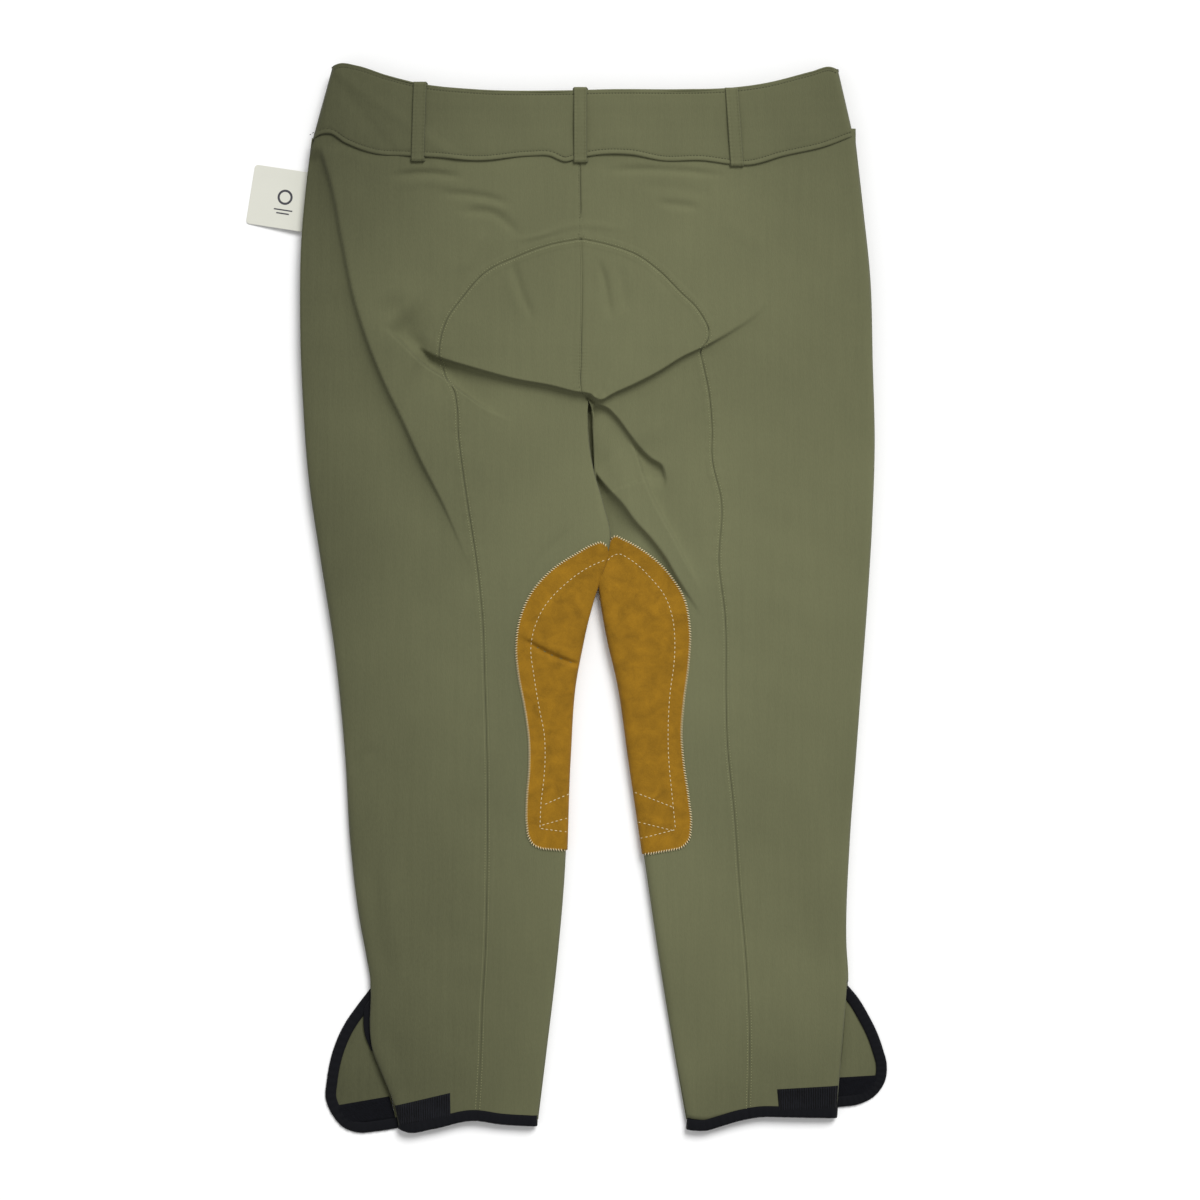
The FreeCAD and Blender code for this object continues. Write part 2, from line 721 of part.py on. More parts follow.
def zip_slider():
    low_y = "slider_top - slider_length"
    width = "2 * slider_half"
    pieces = [
        box_body(f"slider_{word}", "-1 * slider_half", low_y, z, width, "slider_length", "plate")
        for word, z in (("face", "slider_z"), ("back", "slider_skin_z"))
    ]
    pieces.append(
        box_body(
            "slider_post", "-1 * post_half", "slider_top - post_length", "slider_z",
            "2 * post_half", "post_length", "slider_skin_z + plate - slider_z",
        )
    )
    for word, side in SIDES.items():
        x = f"{side} * (knuckle_half + pin_gap) + min(0; {side}) * lug"
        pieces.append(
            box_body(
                f"lug_{word}", x, "pin_y - knuckle", "pin_z - knuckle",
                "lug", "2 * knuckle", "slider_z - pin_z + knuckle",
            )
        )
    span = "2 * (knuckle_half + pin_gap + lug)"
    pieces.append(rod_body("pull_pin", "0", "pin_y", "pin_z", "pin", span))
    keep("zip_slider", joined("slider", pieces))


def zip_pull():
    knuckle = rod_body("pull_knuckle", "0", "pin_y", "pin_z", "knuckle", "2 * knuckle_half")
    neck = box_body(
        "pull_neck", "-1 * knuckle_half", "pin_y - 3 * knuckle", "pin_z - pull_thick / 2",
        "2 * knuckle_half", "3 * knuckle", "pull_thick",
    )
    tab = box_body(
        "pull_tab", "-1 * pull_half", "pin_y - pull_length", "pin_z - pull_thick / 2",
        "2 * pull_half", "pull_length - 2 * knuckle", "pull_thick",
    )
    blank = joined("pull_blank", [knuckle, neck, tab])
    eye = rod_body("pull_eye", "0", "pin_y", "pin_z", "pin + pin_gap", "4 * knuckle_half")
    keep("zip_pull", cut("pull", blank, eye))


def fly_shield():
    """Cloth backing behind the zip, sewn to the right front along one edge."""
    low = "zip_base - fit_gap"
    height = "zip_length"
    skin = box_body(
        "shield_skin", "-1 * shield_half", low, "shield_z", "2 * shield_half", height, "cloth"
    )
    foot = box_body(
        "shield_edge", "shield_half - shield_foot", low, "facing_front_z",
        "shield_foot", height, "shield_z + cloth - facing_front_z",
    )
    keep("fly_shield", joined("shield", [skin, foot]))


def hook_and_bar():
    base = "front_low + tab_up"
    skin = box_body(
        "tab_skin", "-1 * tab_reach", base, "tab_z", "tab_reach + tab_sewn", "tab_height", "cloth"
    )
    foot = box_body(
        "tab_edge", "tab_sewn - tab_foot", base, "waist_floor_z",
        "tab_foot", "tab_height", "tab_z + cloth - waist_floor_z",
    )
    keep("waist_underlap", joined("underlap", [skin, foot]))
    hooks = []
    bars = []
    for step in (-1, 1):
        y = f"{base} + tab_height / 2 + {step} * hook_pitch / 2 - hook_size / 2"
        word = "low" if step < 0 else "high"
        hooks.append(
            box_body(
                f"hook_{word}", "-1 * (hook_place + hook_size / 2)", y, "waist_floor_z",
                "hook_size", "hook_size", "hook_thick",
            )
        )
        bars.append(
            box_body(
                f"bar_{word}", "-1 * (hook_place - bar_width)", y, "tab_z - bar_thick",
                "bar_width", "hook_size", "bar_thick",
            )
        )
        hooks.append(
            box_body(
                f"lip_{word}", "-1 * (hook_place + hook_lip)", y, "waist_floor_z",
                "hook_lip", "hook_size", "hook_thick + bar_thick / 2",
            )
        )
    pair = joined("hook_pair", hooks)
    keep("waist_hooks", pair)
    rails = doc.addObject("Part::Compound", "bar_pair")
    rails.Links = bars
    keep("waist_bars", rails)


# ---------------------------------------------------------------- calf closure


def flap_edge(side, inset):
    """Outer edge of the flap, from its shoulder down to its foot."""
    return [
        below(side, f"flap_shoulder - {inset}", "flap_shoulder_drop"),
        below(side, f"flap_bulge - {inset}", "flap_bulge_drop"),
        below(side, f"flap_round - {inset}", "flap_round_drop"),
        below(side, "flap_foot", f"inseam + bind - {inset}"),
    ]


def calf_flap(word, side):
    """Front extension past the slit, its binding and its loop tape."""
    root_high = below(side, "slit_half + fit_gap", "slit_drop")
    root_low = below(side, "hem_half + fit_gap", "inseam")
    points = [root_high] + flap_edge(side, "bind") + [root_low]
    flap = plate_body(f"flap_{word}", points, "cloth", "suede")
    keep(f"calf_flap_{word}", flap)
    strip = flap_edge(side, "0") + [
        below(side, "flap_foot", "inseam - bind_width"),
        below(side, "flap_round - bind_width - 3", "flap_round_drop - bind_width"),
        below(side, "flap_bulge - bind_width", "flap_bulge_drop"),
        below(side, "flap_shoulder - bind_width", "flap_shoulder_drop"),
    ]
    block = plate_body(f"flap_edging_{word}", strip, "suede + cloth + bind")
    tool = plate_body(f"flap_copy_{word}", points, "cloth", "suede")
    keep(f"flap_binding_{word}", cut(f"flap_bound_{word}", block, tool))
    low = "tape_drop + tape_width / 2"
    high = "tape_drop - tape_width / 2"
    inside = "hem_half + loop_tape_in"
    outside = "flap_round - bind_width - 3 - fit_gap"
    patch = [
        below(side, inside, high),
        below(side, outside, high),
        below(side, outside, "flap_round_drop - bind_width - fit_gap"),
        below(side, "flap_foot - fit_gap", "inseam - bind_width - fit_gap"),
        below(side, inside, "inseam - bind_width - fit_gap"),
    ]
    keep(f"loop_tape_{word}", plate_body(f"loops_{word}", patch, "tape", "flap_skin_z"))
    inner = "hem_half - hook_tape_in - slit_bind"
    hooks = [
        below(side, inner, high),
        below(side, inner, low),
        below(side, f"{inner} - hook_tape_length", low),
        below(side, f"{inner} - hook_tape_length", high),
    ]
    keep(f"hook_tape_{word}", layer(f"hook_tape_{word}", hooks, over_space))


def hem_binding(word, side):
    """Binding along the hem of the back and of the front, and up the slit."""
    hem_low = "inseam + bind"
    above_tape = "tape_drop + tape_width / 2 + fit_gap"
    slit = [
        below(side, "slit_half", "slit_drop"),
        below(side, "hem_half", "inseam"),
        below(side, "hem_in", "inseam"),
        below(side, "hem_in", above_tape),
        below(side, "hem_half - slit_bind", above_tape),
        below(side, "slit_half - slit_bind", "slit_drop"),
    ]
    over = layer(f"back_binding_{word}", slit, over_space)
    keep(f"back_hem_binding_{word}", over)
    under = [
        below(side, "hem_half", "inseam"),
        below(side, "hem_in", "inseam"),
        below(side, "hem_in", "inseam - bind_width"),
        below(side, "hem_half", "inseam - bind_width"),
    ]
    front = plate_body(f"front_binding_{word}", under, "bind")
    keep(f"front_hem_binding_{word}", front)


# ---------------------------------------------------------------- hang tag


def hang_tag():
    """Card that lies half under the left hip, its inner end against the cloth."""
    far = "card_hole_in - card_length"
    near = "card_hole_in"
    half = "card_width / 2"
    soft = "card_round * 0.2929"

    def corner(x, y, x_way, y_way, first):
        along = (f"{x} - {x_way} * card_round", f"{y_way} * {y}")
        upright = (f"{x}", f"{y_way} * ({y} - card_round)")
        via = (f"{x} - {x_way} * {soft}", f"{y_way} * ({y} - {soft})")
        pair = (along, upright) if first == "along" else (upright, along)
        return [arc(pair[0], via), pair[1]]

    points = corner(near, half, 1, 1, "along") + corner(near, half, 1, -1, "upright")
    points += corner(far, half, -1, -1, "along") + corner(far, half, -1, 1, "upright")
    body = plate_body("card", points, "card_thick", "0", [("0", "0", "card_hole")])
    turn = FreeCAD.Rotation(FreeCAD.Vector(0, 0, 1), size("card_turn"))
    lean = FreeCAD.Rotation(FreeCAD.Vector(0, 1, 0), -size("card_lean"))
    body.Placement.Rotation = turn.multiply(lean)
    body.setExpression("Placement.Base.x", bound("card_x"))
    body.setExpression("Placement.Base.y", bound("card_y"))
    rise = "(card_length - card_hole_in) * sin(card_lean * 1 deg)"
    body.setExpression("Placement.Base.z", bound(rise))
    keep("hang_tag", body)


# ---------------------------------------------------------------- build

for word, side in SIDES.items():
    back_outer_panel(f"back_outer_panel_{word}", side)
    seat_panel(f"seat_panel_{word}", side)
    front_panel(f"front_panel_{word}", side)
    side_seam(f"side_seam_{word}", side)
    inner_seam(f"inner_seam_{word}", side)
    knee_patch(f"knee_patch_{word}", side)
    zip_half(word, side)
    calf_flap(word, side)
    hem_binding(word, side)
waistband()
belt_loops()
zip_stops()
zip_slider()
zip_pull()
fly_shield()
hook_and_bar()
hang_tag()
doc.recompute()


def check_and_write():
    for thing in doc.Objects:
        if "Invalid" in thing.State or "Error" in thing.State:
            raise RuntimeError(f"{thing.Label} did not build: {thing.State}")
    os.makedirs("parts", exist_ok=True)
    for name, piece in nodes.items():
        shape = piece.Shape
        if shape.isNull() or not shape.isValid() or not shape.Solids:
            raise RuntimeError(f"{name} has no valid solid")
        shape.exportStep(f"parts/{name}.step")
        box = shape.BoundBox
        print(
            f"{name:26s} {len(shape.Solids)} solids {shape.Volume:9.0f} mm3 "
            f"x {box.XMin:7.1f} {box.XMax:7.1f} y {box.YMin:7.1f} {box.YMax:7.1f} "
            f"z {box.ZMin:5.2f} {box.ZMax:5.2f}"
        )


check_and_write()
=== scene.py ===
"""Knee-patch riding breeches laid flat, back up: cloth, suede, bindings, tapes, stitching and card."""

import math

import bmesh
import bpy
import numpy as np
from bpy.props import FloatProperty, FloatVectorProperty, PointerProperty
from mathutils import Matrix, Vector


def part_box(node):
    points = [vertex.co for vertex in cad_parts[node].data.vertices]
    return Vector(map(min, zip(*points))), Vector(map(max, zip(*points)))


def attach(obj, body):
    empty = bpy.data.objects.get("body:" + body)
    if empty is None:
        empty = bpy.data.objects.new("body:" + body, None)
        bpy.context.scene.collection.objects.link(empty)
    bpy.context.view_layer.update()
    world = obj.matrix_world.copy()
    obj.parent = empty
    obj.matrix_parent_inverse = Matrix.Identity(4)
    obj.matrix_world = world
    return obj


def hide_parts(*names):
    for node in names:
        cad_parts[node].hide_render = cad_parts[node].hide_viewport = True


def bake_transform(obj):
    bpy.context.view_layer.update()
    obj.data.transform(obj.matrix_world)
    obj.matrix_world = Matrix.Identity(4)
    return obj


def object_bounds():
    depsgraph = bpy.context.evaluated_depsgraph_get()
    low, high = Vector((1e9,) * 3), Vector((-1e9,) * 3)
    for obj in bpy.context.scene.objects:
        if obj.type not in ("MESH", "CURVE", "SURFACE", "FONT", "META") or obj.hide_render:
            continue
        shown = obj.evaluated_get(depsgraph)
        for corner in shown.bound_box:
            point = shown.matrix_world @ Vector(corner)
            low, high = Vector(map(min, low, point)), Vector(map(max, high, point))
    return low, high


bl_info = {
    "name": "Riding breeches",
    "version": (1, 0, 0),
    "blender": (4, 5, 0),
    "location": "View3D > Sidebar > Breeches",
    "description": "Cloth, suede, trims and stitching of a pair of knee-patch riding breeches",
    "category": "Object",
}

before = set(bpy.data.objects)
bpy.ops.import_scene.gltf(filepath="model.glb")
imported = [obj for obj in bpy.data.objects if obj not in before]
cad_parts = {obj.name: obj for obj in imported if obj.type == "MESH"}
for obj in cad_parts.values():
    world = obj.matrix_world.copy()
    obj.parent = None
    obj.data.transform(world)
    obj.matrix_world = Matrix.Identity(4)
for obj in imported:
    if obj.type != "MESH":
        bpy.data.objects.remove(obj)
CAD_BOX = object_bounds()

MM = 0.001
SIDES = {"left": -1, "right": 1}
BODY = "breeches"

# ---------------------------------------------------------------- outlines, in millimetres
# Each is a smooth curve through a few points, from the hem upwards unless it says otherwise.

OUTER_EDGE = {
    "left": [(-160, -586), (-161.5, -575), (-165.5, -563), (-171, -549), (-178, -531), (-183, -518),
             (-184.8, -505), (-184.6, -485), (-184, -462), (-187, -440), (-193, -408),
             (-201, -340), (-205, -272), (-214, -180), (-226, -102), (-236, -34), (-241, 34),
             (-243, 102), (-242, 170), (-238, 215), (-233, 256)],
    "right": [(212, -577), (215, -541), (218, -504), (221, -463), (220, -425), (223, -340),
              (228, -272), (233, -204), (238, -136), (242, -68), (244, 0), (242, 68),
              (240, 136), (234, 195), (227, 257)],
}
INNER_EDGE = {
    "left": [(-43, -584), (-36, -527), (-26, -442), (-20, -374), (-16, -272), (-11, -204),
             (-4, -170), (5, -136), (14, -108), (20, -84), (14, -54), (5.4, -24), (1.4, 2),
             (0.2, 22), (0, 36)],
    "right": [(85, -578), (76, -527), (62, -442), (52, -374), (37, -272), (27, -204),
              (19, -170), (13, -136), (9, -105), (7.4, -70), (7, -40), (6.4, -12), (5.4, 10),
             (4.2, 26), (0, 37)],
}
LEG_SEAM = {
    "left": [(-94, -584), (-91, -532), (-89, -476), (-87, -442), (-85, -360), (-85, -274),
             (-87, -205), (-89, -150), (-93, -110), (-102, -51), (-109, 1), (-113, 38),
             (-119, 49), (-123, 64), (-125, 76)],
    "right": [(137, -578), (138, -504), (135, -442), (130, -387), (125, -317), (119, -257),
              (118, -221), (117, -149), (112, -105), (114, -53), (106, -15), (106, 10),
              (103, 42), (98, 66), (96, 76)],
}
SEAT_ARC = {
    "left": [(-125, 76), (-120, 99), (-105, 121), (-87, 141), (-59, 155), (-31, 165), (-5, 170)],
    "right": [(96, 76), (103, 89), (94, 110), (79, 125), (61, 143), (43, 156), (18, 165), (-5, 170)],
}
CENTRE_SEAM = [(0.4, 35), (-3.6, 41), (-5.2, 48), (-5, 64), (-4.6, 85), (-4.2, 105), (-4, 128), (-4.2, 150),
               (-4.8, 170), (-5.3, 195), (-5.8, 220), (-6, 246)]
PATCH_EDGE = {
    "left": [(-38, -347), (-45, -344), (-49, -338), (-51, -326), (-51, -306), (-49, -280),
             (-49, -257), (-53, -226), (-58, -200), (-60, -176), (-57, -153), (-47, -130),
             (-30, -111), (-9, -97), (6, -89), (12.5, -87.5), (17, -91)],
    "right": [(72, -348), (80, -346), (86, -340), (88, -329), (86, -304), (82, -276),
              (80, -249), (82, -222), (86, -190), (87, -160), (82, -134), (66, -110),
              (44, -92), (30, -84.5), (24, -82), (19, -86)],
}
BAND_TOP = [(-216, 317), (-209, 319), (-195, 317), (-170, 309), (-142, 302), (-95, 297),
            (-20, 296), (20, 297), (80, 297), (118, 298), (150, 302), (190, 312), (206, 316),
            (213, 314)]
BAND_LOW = [(-233, 254), (-226, 258), (-219, 259), (-205, 251), (-180, 242), (-153, 240),
            (-130, 239), (-92, 236), (-48, 240), (-32, 240), (-18, 235), (-10, 237), (3, 240),
            (37, 241), (64, 236), (99, 236), (121, 233), (134, 232), (167, 240), (202, 248),
            (226, 257)]
HEM_LINE = {
    "left": [(-161, -586), (-152, -589), (-131, -586), (-96, -579), (-75, -582), (-43, -584)],
    "right": [(84.8, -586.8), (92, -587.4), (101, -587.4), (113, -584), (130, -579), (147, -576),
              (167, -576), (190, -576.5), (212.6, -577)],
}
FLAP_EDGE = {
    "left": [(-184, -466), (-197, -483), (-206, -496), (-216, -518), (-222, -546), (-223, -560),
             (-217, -575), (-207, -586), (-195, -590), (-180, -589), (-161, -586)],
    "right": [(221, -463), (231, -475), (240, -490), (247, -504), (252, -518), (255.5, -532),
              (254, -546), (246, -558), (231, -566), (217, -568), (210, -568.4)],
}

FLAP_FOOT = {"left": (-163.5, -582), "right": (212.2, -565)}
# Where each flap's binding ends, tucked under the leg.
FLAP_TUCK = {"left": (-152, -584), "right": (204, -568.6)}

# Where the front layer's edges differ from the back layer's.
SLIT_TOP = -463
SLIT_ROOT = {
    "left": [(-182.4, -463), (-177.8, -492), (-172.7, -524), (-168, -553), (-163.3, -583)],
    "right": [(222.2, -463), (219.6, -492), (216.7, -524), (212.8, -553), (210.5, -583)],
}
INNER_FRONT = {
    "left": [(-43, -584), (-36, -527), (-26, -442), (-20, -374), (-16, -272), (-11, -204),
             (-5, -170), (-1, -136), (0, -108), (0, -84), (-1, -54), (-1, -24), (-1, 2), (-0.4, 36)],
    "right": [(85, -578), (76, -527), (62, -442), (52, -374), (37, -272), (27, -204),
              (19, -170), (13, -136), (9, -108), (7, -84), (4, -54), (2, -24), (1, 2), (0.4, 36)],
}
PATCH_FRONT = {
    "left": [(-100, -350), (-97, -300), (-99, -250), (-106, -200), (-110, -160), (-96, -125),
             (-80, -102), (-40, -90), (4, -87)],
    "right": [(130, -350), (124, -300), (121, -250), (124, -200), (126, -160), (110, -125),
              (90, -100), (50, -88), (12, -84)],
}
PATCH_LINE = {
    "left": [(15, -102), (0, -109), (-19, -123), (-37, -143), (-45, -161), (-47.6, -175),
             (-45, -201), (-40, -231), (-36.5, -249), (-35.6, -268), (-36.5, -286), (-39, -308),
             (-40, -329)],
    "right": [(17, -103), (21, -99), (26.5, -97), (36.7, -101.7), (53.3, -116.5), (66.2, -133),
              (72.6, -151.5), (74.5, -172), (73.6, -192), (70.8, -212), (69, -238), (69, -264),
              (69.9, -279), (71.7, -297), (73.2, -312), (75, -330)],
}
PATCH_BARS = {
    "left": [[(-40, -330), (-16.2, -333.2)], [(-39, -327.5), (-15.8, -320.8)],
             [(-36.5, -309.8), (-15, -300.5)]],
    "right": [[(75, -331), (46, -338.5)], [(73.5, -332), (43, -324.4)], [(73, -312), (40, -299)]],
}
FRONT_TOP = [(-216, 317), (-160, 298), (-106, 284), (-50, 274), (0, 272), (50, 274), (106, 284),
             (160, 298), (212.8, 315)]
FRONT_LOW = [(-233, 255), (-170, 237), (-115, 224), (-55, 216), (0, 214), (55, 216), (115, 224),
             (170, 238), (226.3, 257)]
BELT_LOOPS = {
    "belt_loop_back_left": ((-143.5, 237), (-141.5, 302)),
    "belt_loop_back_middle": ((-5.7, 236), (-5.7, 297.5)),
    "belt_loop_back_right": ((127, 233), (122.5, 297)),
}
FRONT_LOOPS = {
    "belt_loop_front_left": ((-105, 222), (-105, 283)),
    "belt_loop_front_right": ((105, 222), (105, 283)),
}
# Corners of the touch tapes: upper inner, upper outer, lower outer, lower inner.
HOOK_TAPE = {
    "left": [(-116.5, -555), (-163.6, -566), (-160, -583), (-116, -575)],
    "right": [(161.5, -552), (213.6, -549), (212.6, -568.2), (163.2, -570.6)],
}
LOOP_TAPE = {
    "left": [(-168.5, -559), (-215, -567), (-209, -583), (-163, -578)],
    "right": [(212.8, -543), (249, -541), (245, -558), (212, -560.5)],
}
# Where the card's string would pass, which is what it swings about, and the height of its middle there.
CARD_HOLE = (-207.3, 197.6, 6.5)

# ---------------------------------------------------------------- folds of the cloth
# A fold steps up on the left of its line. On the high side lift fades over reach_up. On the low
# side drop is the step at the line, and dip is deepest at reach_down. Lip is how far the high
# side hangs over, and ends are the shares of the line over which the fold grows and dies away.

FOLDS = [
    dict(line=[(-226, 250), (-215, 212), (-207, 169), (-197, 120), (-186, 85), (-171, 48),
               (-157, 19), (-140, -18), (-122, -54), (-107, -90), (-95, -118)],
         lift=2.2, reach_up=34, drop=1.5, dip=5.2, reach_down=22, lip=1.4, ends=(0.03, 0.3)),
    dict(line=[(-146, 80), (-131, 74), (-96, 63), (-59, 53), (-31, 48), (-6, 42), (3, 41), (9, 36),
               (24, 42), (42, 50), (61, 60), (79, 71), (103, 82), (125, 94), (142, 105),
               (156, 120), (165, 138)],
         lift=1.8, reach_up=26, drop=3.2, dip=3.2, reach_down=15, lip=2.8, ends=(0.05, 0.4)),
    dict(line=[(-62, 15), (-88, 27), (-112, 43), (-122, 51), (-140, 63), (-157, 80),
               (-173, 96)],
         lift=2.8, reach_up=20, drop=2.6, dip=3.6, reach_down=11, lip=2.0, ends=(0.4, 0.12)),
    dict(line=[(6, 33), (19, 27), (26, 20), (35, 8), (44, -4), (55, -15), (64, -21), (67, -31),
               (65, -46)],
         lift=1.6, reach_up=22, drop=2.2, dip=2.4, reach_down=9, lip=1.6, ends=(0.04, 0.24), leg="right"),
    dict(line=[(99, -134), (92, -118), (82, -101), (71, -80), (61, -62), (54, -48), (47, -29),
               (41, -11), (35, 3)],
         lift=1.6, reach_up=10, drop=2.0, dip=2.2, reach_down=9, lip=1.2, ends=(0.35, 0.14), leg="right"),
    dict(line=[(5, -24), (19, -41), (31, -54), (42, -69), (54, -82), (67, -99), (78, -118),
               (91, -139), (101, -155)],
         lift=2.2, reach_up=14, drop=1.6, dip=3.0, reach_down=12, lip=1.6, ends=(0.04, 0.35), leg="right"),
]
# Soft ridges (positive) and hollows (negative): line, height, width.
RIDGES = [
    ([(-156, 92), (-142, 80), (-128, 70), (-112, 58)], -2.2, 6),
    ([(4, 38), (9, 36), (16, 39)], 1.0, 4.0),
    ([(-2, 37), (4, 35), (9, 31)], -3.0, 2.6),
    ([(-205, 210), (-192, 150), (-172, 90)], -1.2, 16),
    ([(-172, 124), (-158, 100), (-140, 80)], -2.2, 12),
    ([(-8, -71), (-23, -84), (-37, -98), (-52, -121), (-63, -141)], -0.7, 4),
    ([(-64, 158), (-58, 132), (-44, 97)], -1.6, 3.2),
    ([(-70, 150), (-64, 128), (-52, 100)], 0.6, 5),
    ([(-86, 180), (-95, 160), (-108, 138)], 1.0, 5),
    ([(-70, 168), (-39, 173), (-22, 179), (-6, 182), (14, 181), (40, 176)], 0.8, 2.4),
    ([(9, 156), (16, 130), (20, 99)], -1.5, 3.0),
    ([(26, 152), (31, 128), (34, 104)], -0.7, 4),
    ([(52, 158), (62, 140), (70, 122)], -0.6, 5),
    ([(-170, 223), (-139, 226), (-102, 222)], -2.3, 2.6),
    ([(-165, 214), (-138, 218), (-105, 214)], 0.7, 4),
    ([(-128, 209), (-89, 206), (-62, 198)], -1.8, 3.0),
    ([(-112, 193), (-80, 192), (-54, 170)], -1.7, 3.4),
    ([(-100, 200), (-80, 199), (-62, 190)], 0.7, 4),
    ([(8, 228), (64, 229), (124, 223)], -1.8, 2.8),
    ([(58, 201), (78, 199), (98, 196)], -1.5, 3.0),
    ([(40, 215), (75, 213), (110, 206)], -0.6, 5),
    ([(110, 190), (140, 170), (160, 160)], 0.6, 9),
    ([(-168, -340), (-164, -400), (-158, -475)], 1.3, 9),
    ([(-184, -350), (-178, -410), (-172, -470)], -0.9, 7),
    ([(186, -250), (196, -340), (200, -450)], 0.9, 14),
    ([(60, -190), (70, -250), (74, -340)], 0.5, 14),
    ([(-150, -130), (-146, -230), (-142, -330)], 0.8, 20),
    ([(175, -60), (172, -160), (170, -260)], 0.8, 22),
    ([(-200, -285), (-190, -268), (-176, -262)], -0.8, 4),
    ([(-132, -470), (-128, -520), (-124, -560)], 0.7, 10),
    ([(170, -440), (176, -500), (180, -550)], 0.7, 10),
    ([(-170, -490), (-160, -530), (-150, -570)], -1.0, 8),
    ([(-62, -166), (-50, -172), (-43, -176), (-27, -184), (-8, -191), (8, -197)], -3.0, 2.0),
    ([(-58, -165), (-42, -171), (-28, -177), (-11, -184)], 0.7, 3.6),
    ([(60, -190), (72, -178), (84, -172)], 0.5, 3.0),
    ([(-46, -244), (-30, -250), (-14, -252)], -0.5, 2.2),
]


def smooth(points, count=220):
    """A smooth curve through the points: a cubic Hermite spline over their cumulative length."""
    knots = np.array(points, float)
    along = np.concatenate([[0], np.cumsum(np.hypot(*np.diff(knots, axis=0).T))])
    at = np.linspace(0, along[-1], count)
    slopes = np.gradient(knots, along, axis=0)
    index = np.clip(np.searchsorted(along, at, side="right") - 1, 0, len(along) - 2)
    span = (along[index + 1] - along[index])[:, None]
    t = (at[:, None] - along[index][:, None]) / span
    start = (2 * t**3 - 3 * t**2 + 1) * knots[index] + (t**3 - 2 * t**2 + t) * span * slopes[index]
    end = (3 * t**2 - 2 * t**3) * knots[index + 1] + (t**3 - t**2) * span * slopes[index + 1]
    return start + end


def step(value):
    value = np.clip(value, 0, 1)
    return value * value * (3 - 2 * value)


def offsets(line, x, y):
    """Signed distance to the left of a line, share of the way along it, and its left normal."""
    start = line[:-1]
    way = np.diff(line, axis=0)
    length = np.hypot(way[:, 0], way[:, 1])
    best = np.full(x.shape, 1e9)
    side = np.ones(x.shape)
    share = np.zeros(x.shape)
    normal = np.zeros(x.shape + (2,))
    run = np.concatenate([[0], np.cumsum(length)])
    for i in range(len(start)):
        dx = x - start[i, 0]
        dy = y - start[i, 1]
        t = np.clip((dx * way[i, 0] + dy * way[i, 1]) / length[i] ** 2, 0, 1)
        rx = dx - t * way[i, 0]
        ry = dy - t * way[i, 1]
        distance = np.hypot(rx, ry)
        closer = distance < best
        best = np.where(closer, distance, best)
        cross = way[i, 0] * ry - way[i, 1] * rx
        side = np.where(closer, np.where(cross >= 0, 1, -1), side)
        share = np.where(closer, (run[i] + t * length[i]) / run[-1], share)
        normal[closer] = np.array([-way[i, 1], way[i, 0]]) / length[i]
    return best * side, share, normal


FOLD_REACH = 170
FOLD_LINES = [smooth(fold["line"], 60) for fold in FOLDS]
RIDGE_LINES = [smooth(line, 14) for line, _, _ in RIDGES]


def fold_shape(word, x, y):
    """Height and sideways shift that the folds give one leg's cloth at each point."""
    height = np.zeros(x.shape)
    shift = np.zeros(x.shape + (2,))
    for fold, line in zip(FOLDS, FOLD_LINES):
        if fold.get("leg", word) != word:
            continue
        near = nearby(line, x, y, FOLD_REACH)
        away, share, normal = offsets(line, x[near], y[near])
        first, last = fold["ends"]
        strength = step(share / first) * step((1 - share) / last)
        inside = (share > 0) & (share < 1)
        strength = np.where(inside, strength, 0)
        high = fold["lift"] * np.exp(-np.clip(away, 0, None) / fold["reach_up"])
        below = np.clip(-away, 0, None)
        bowl = below / fold["reach_down"] * np.exp(1 - below / fold["reach_down"])
        low = -fold["drop"] * np.exp(-below / (3 * fold["reach_down"])) - fold["dip"] * bowl
        height[near] += strength * (low + (high - low) * step(away / 2.6 + 0.5))
        push = fold["lip"] * np.exp(-(((away - 2.0) / 4.6) ** 2))
        shift[near] -= normal * (strength * push)[..., None]
    for (_, rise, width), line in zip(RIDGES, RIDGE_LINES):
        near = nearby(line, x, y, width * 3)
        away, share, _ = offsets(line, x[near], y[near])
        fade = step(share / 0.3) * step((1 - share) / 0.3)
        height[near] += rise * fade * np.exp(-((away / width) ** 2))
    return height, shift


# ---------------------------------------------------------------- levels, in millimetres

BACK_LEVEL = [(-640, 9.0), (-583, 9.2), (-350, 11.4), (-120, 13.4), (20, 16.6), (80, 18.2),
              (400, 18.6)]
FRONT_LEVEL = [(-640, 1.3), (-80, 1.3), (-64, 0.1), (19, 0.1), (80, 7.7), (400, 7.7)]
EDGE_FALL = 3.6
BACK_RADIUS = 7.0
# The legs join above this height.
CROTCH = 36


def back_level(y):
    return np.interp(y, *np.array(BACK_LEVEL).T)


def front_level(y):
    return np.interp(y, *np.array(FRONT_LEVEL).T)


EDGES = {}
for word in SIDES:
    above_slit = [p for p in OUTER_EDGE[word] if p[1] > SLIT_TOP + 8]
    EDGES[word, "outer"] = smooth(OUTER_EDGE[word])
    EDGES[word, "inner"] = smooth(INNER_EDGE[word])
    EDGES[word, "front_outer"] = smooth(SLIT_ROOT[word][::-1] + above_slit)
    EDGES[word, "front_inner"] = smooth(INNER_FRONT[word])
BAND_LINE = smooth(BAND_LOW, 300)


def edge_x(word, which, y):
    curve = EDGES[word, which]
    order = np.argsort(curve[:, 1])
    return np.interp(y, curve[order, 1], curve[order, 0])


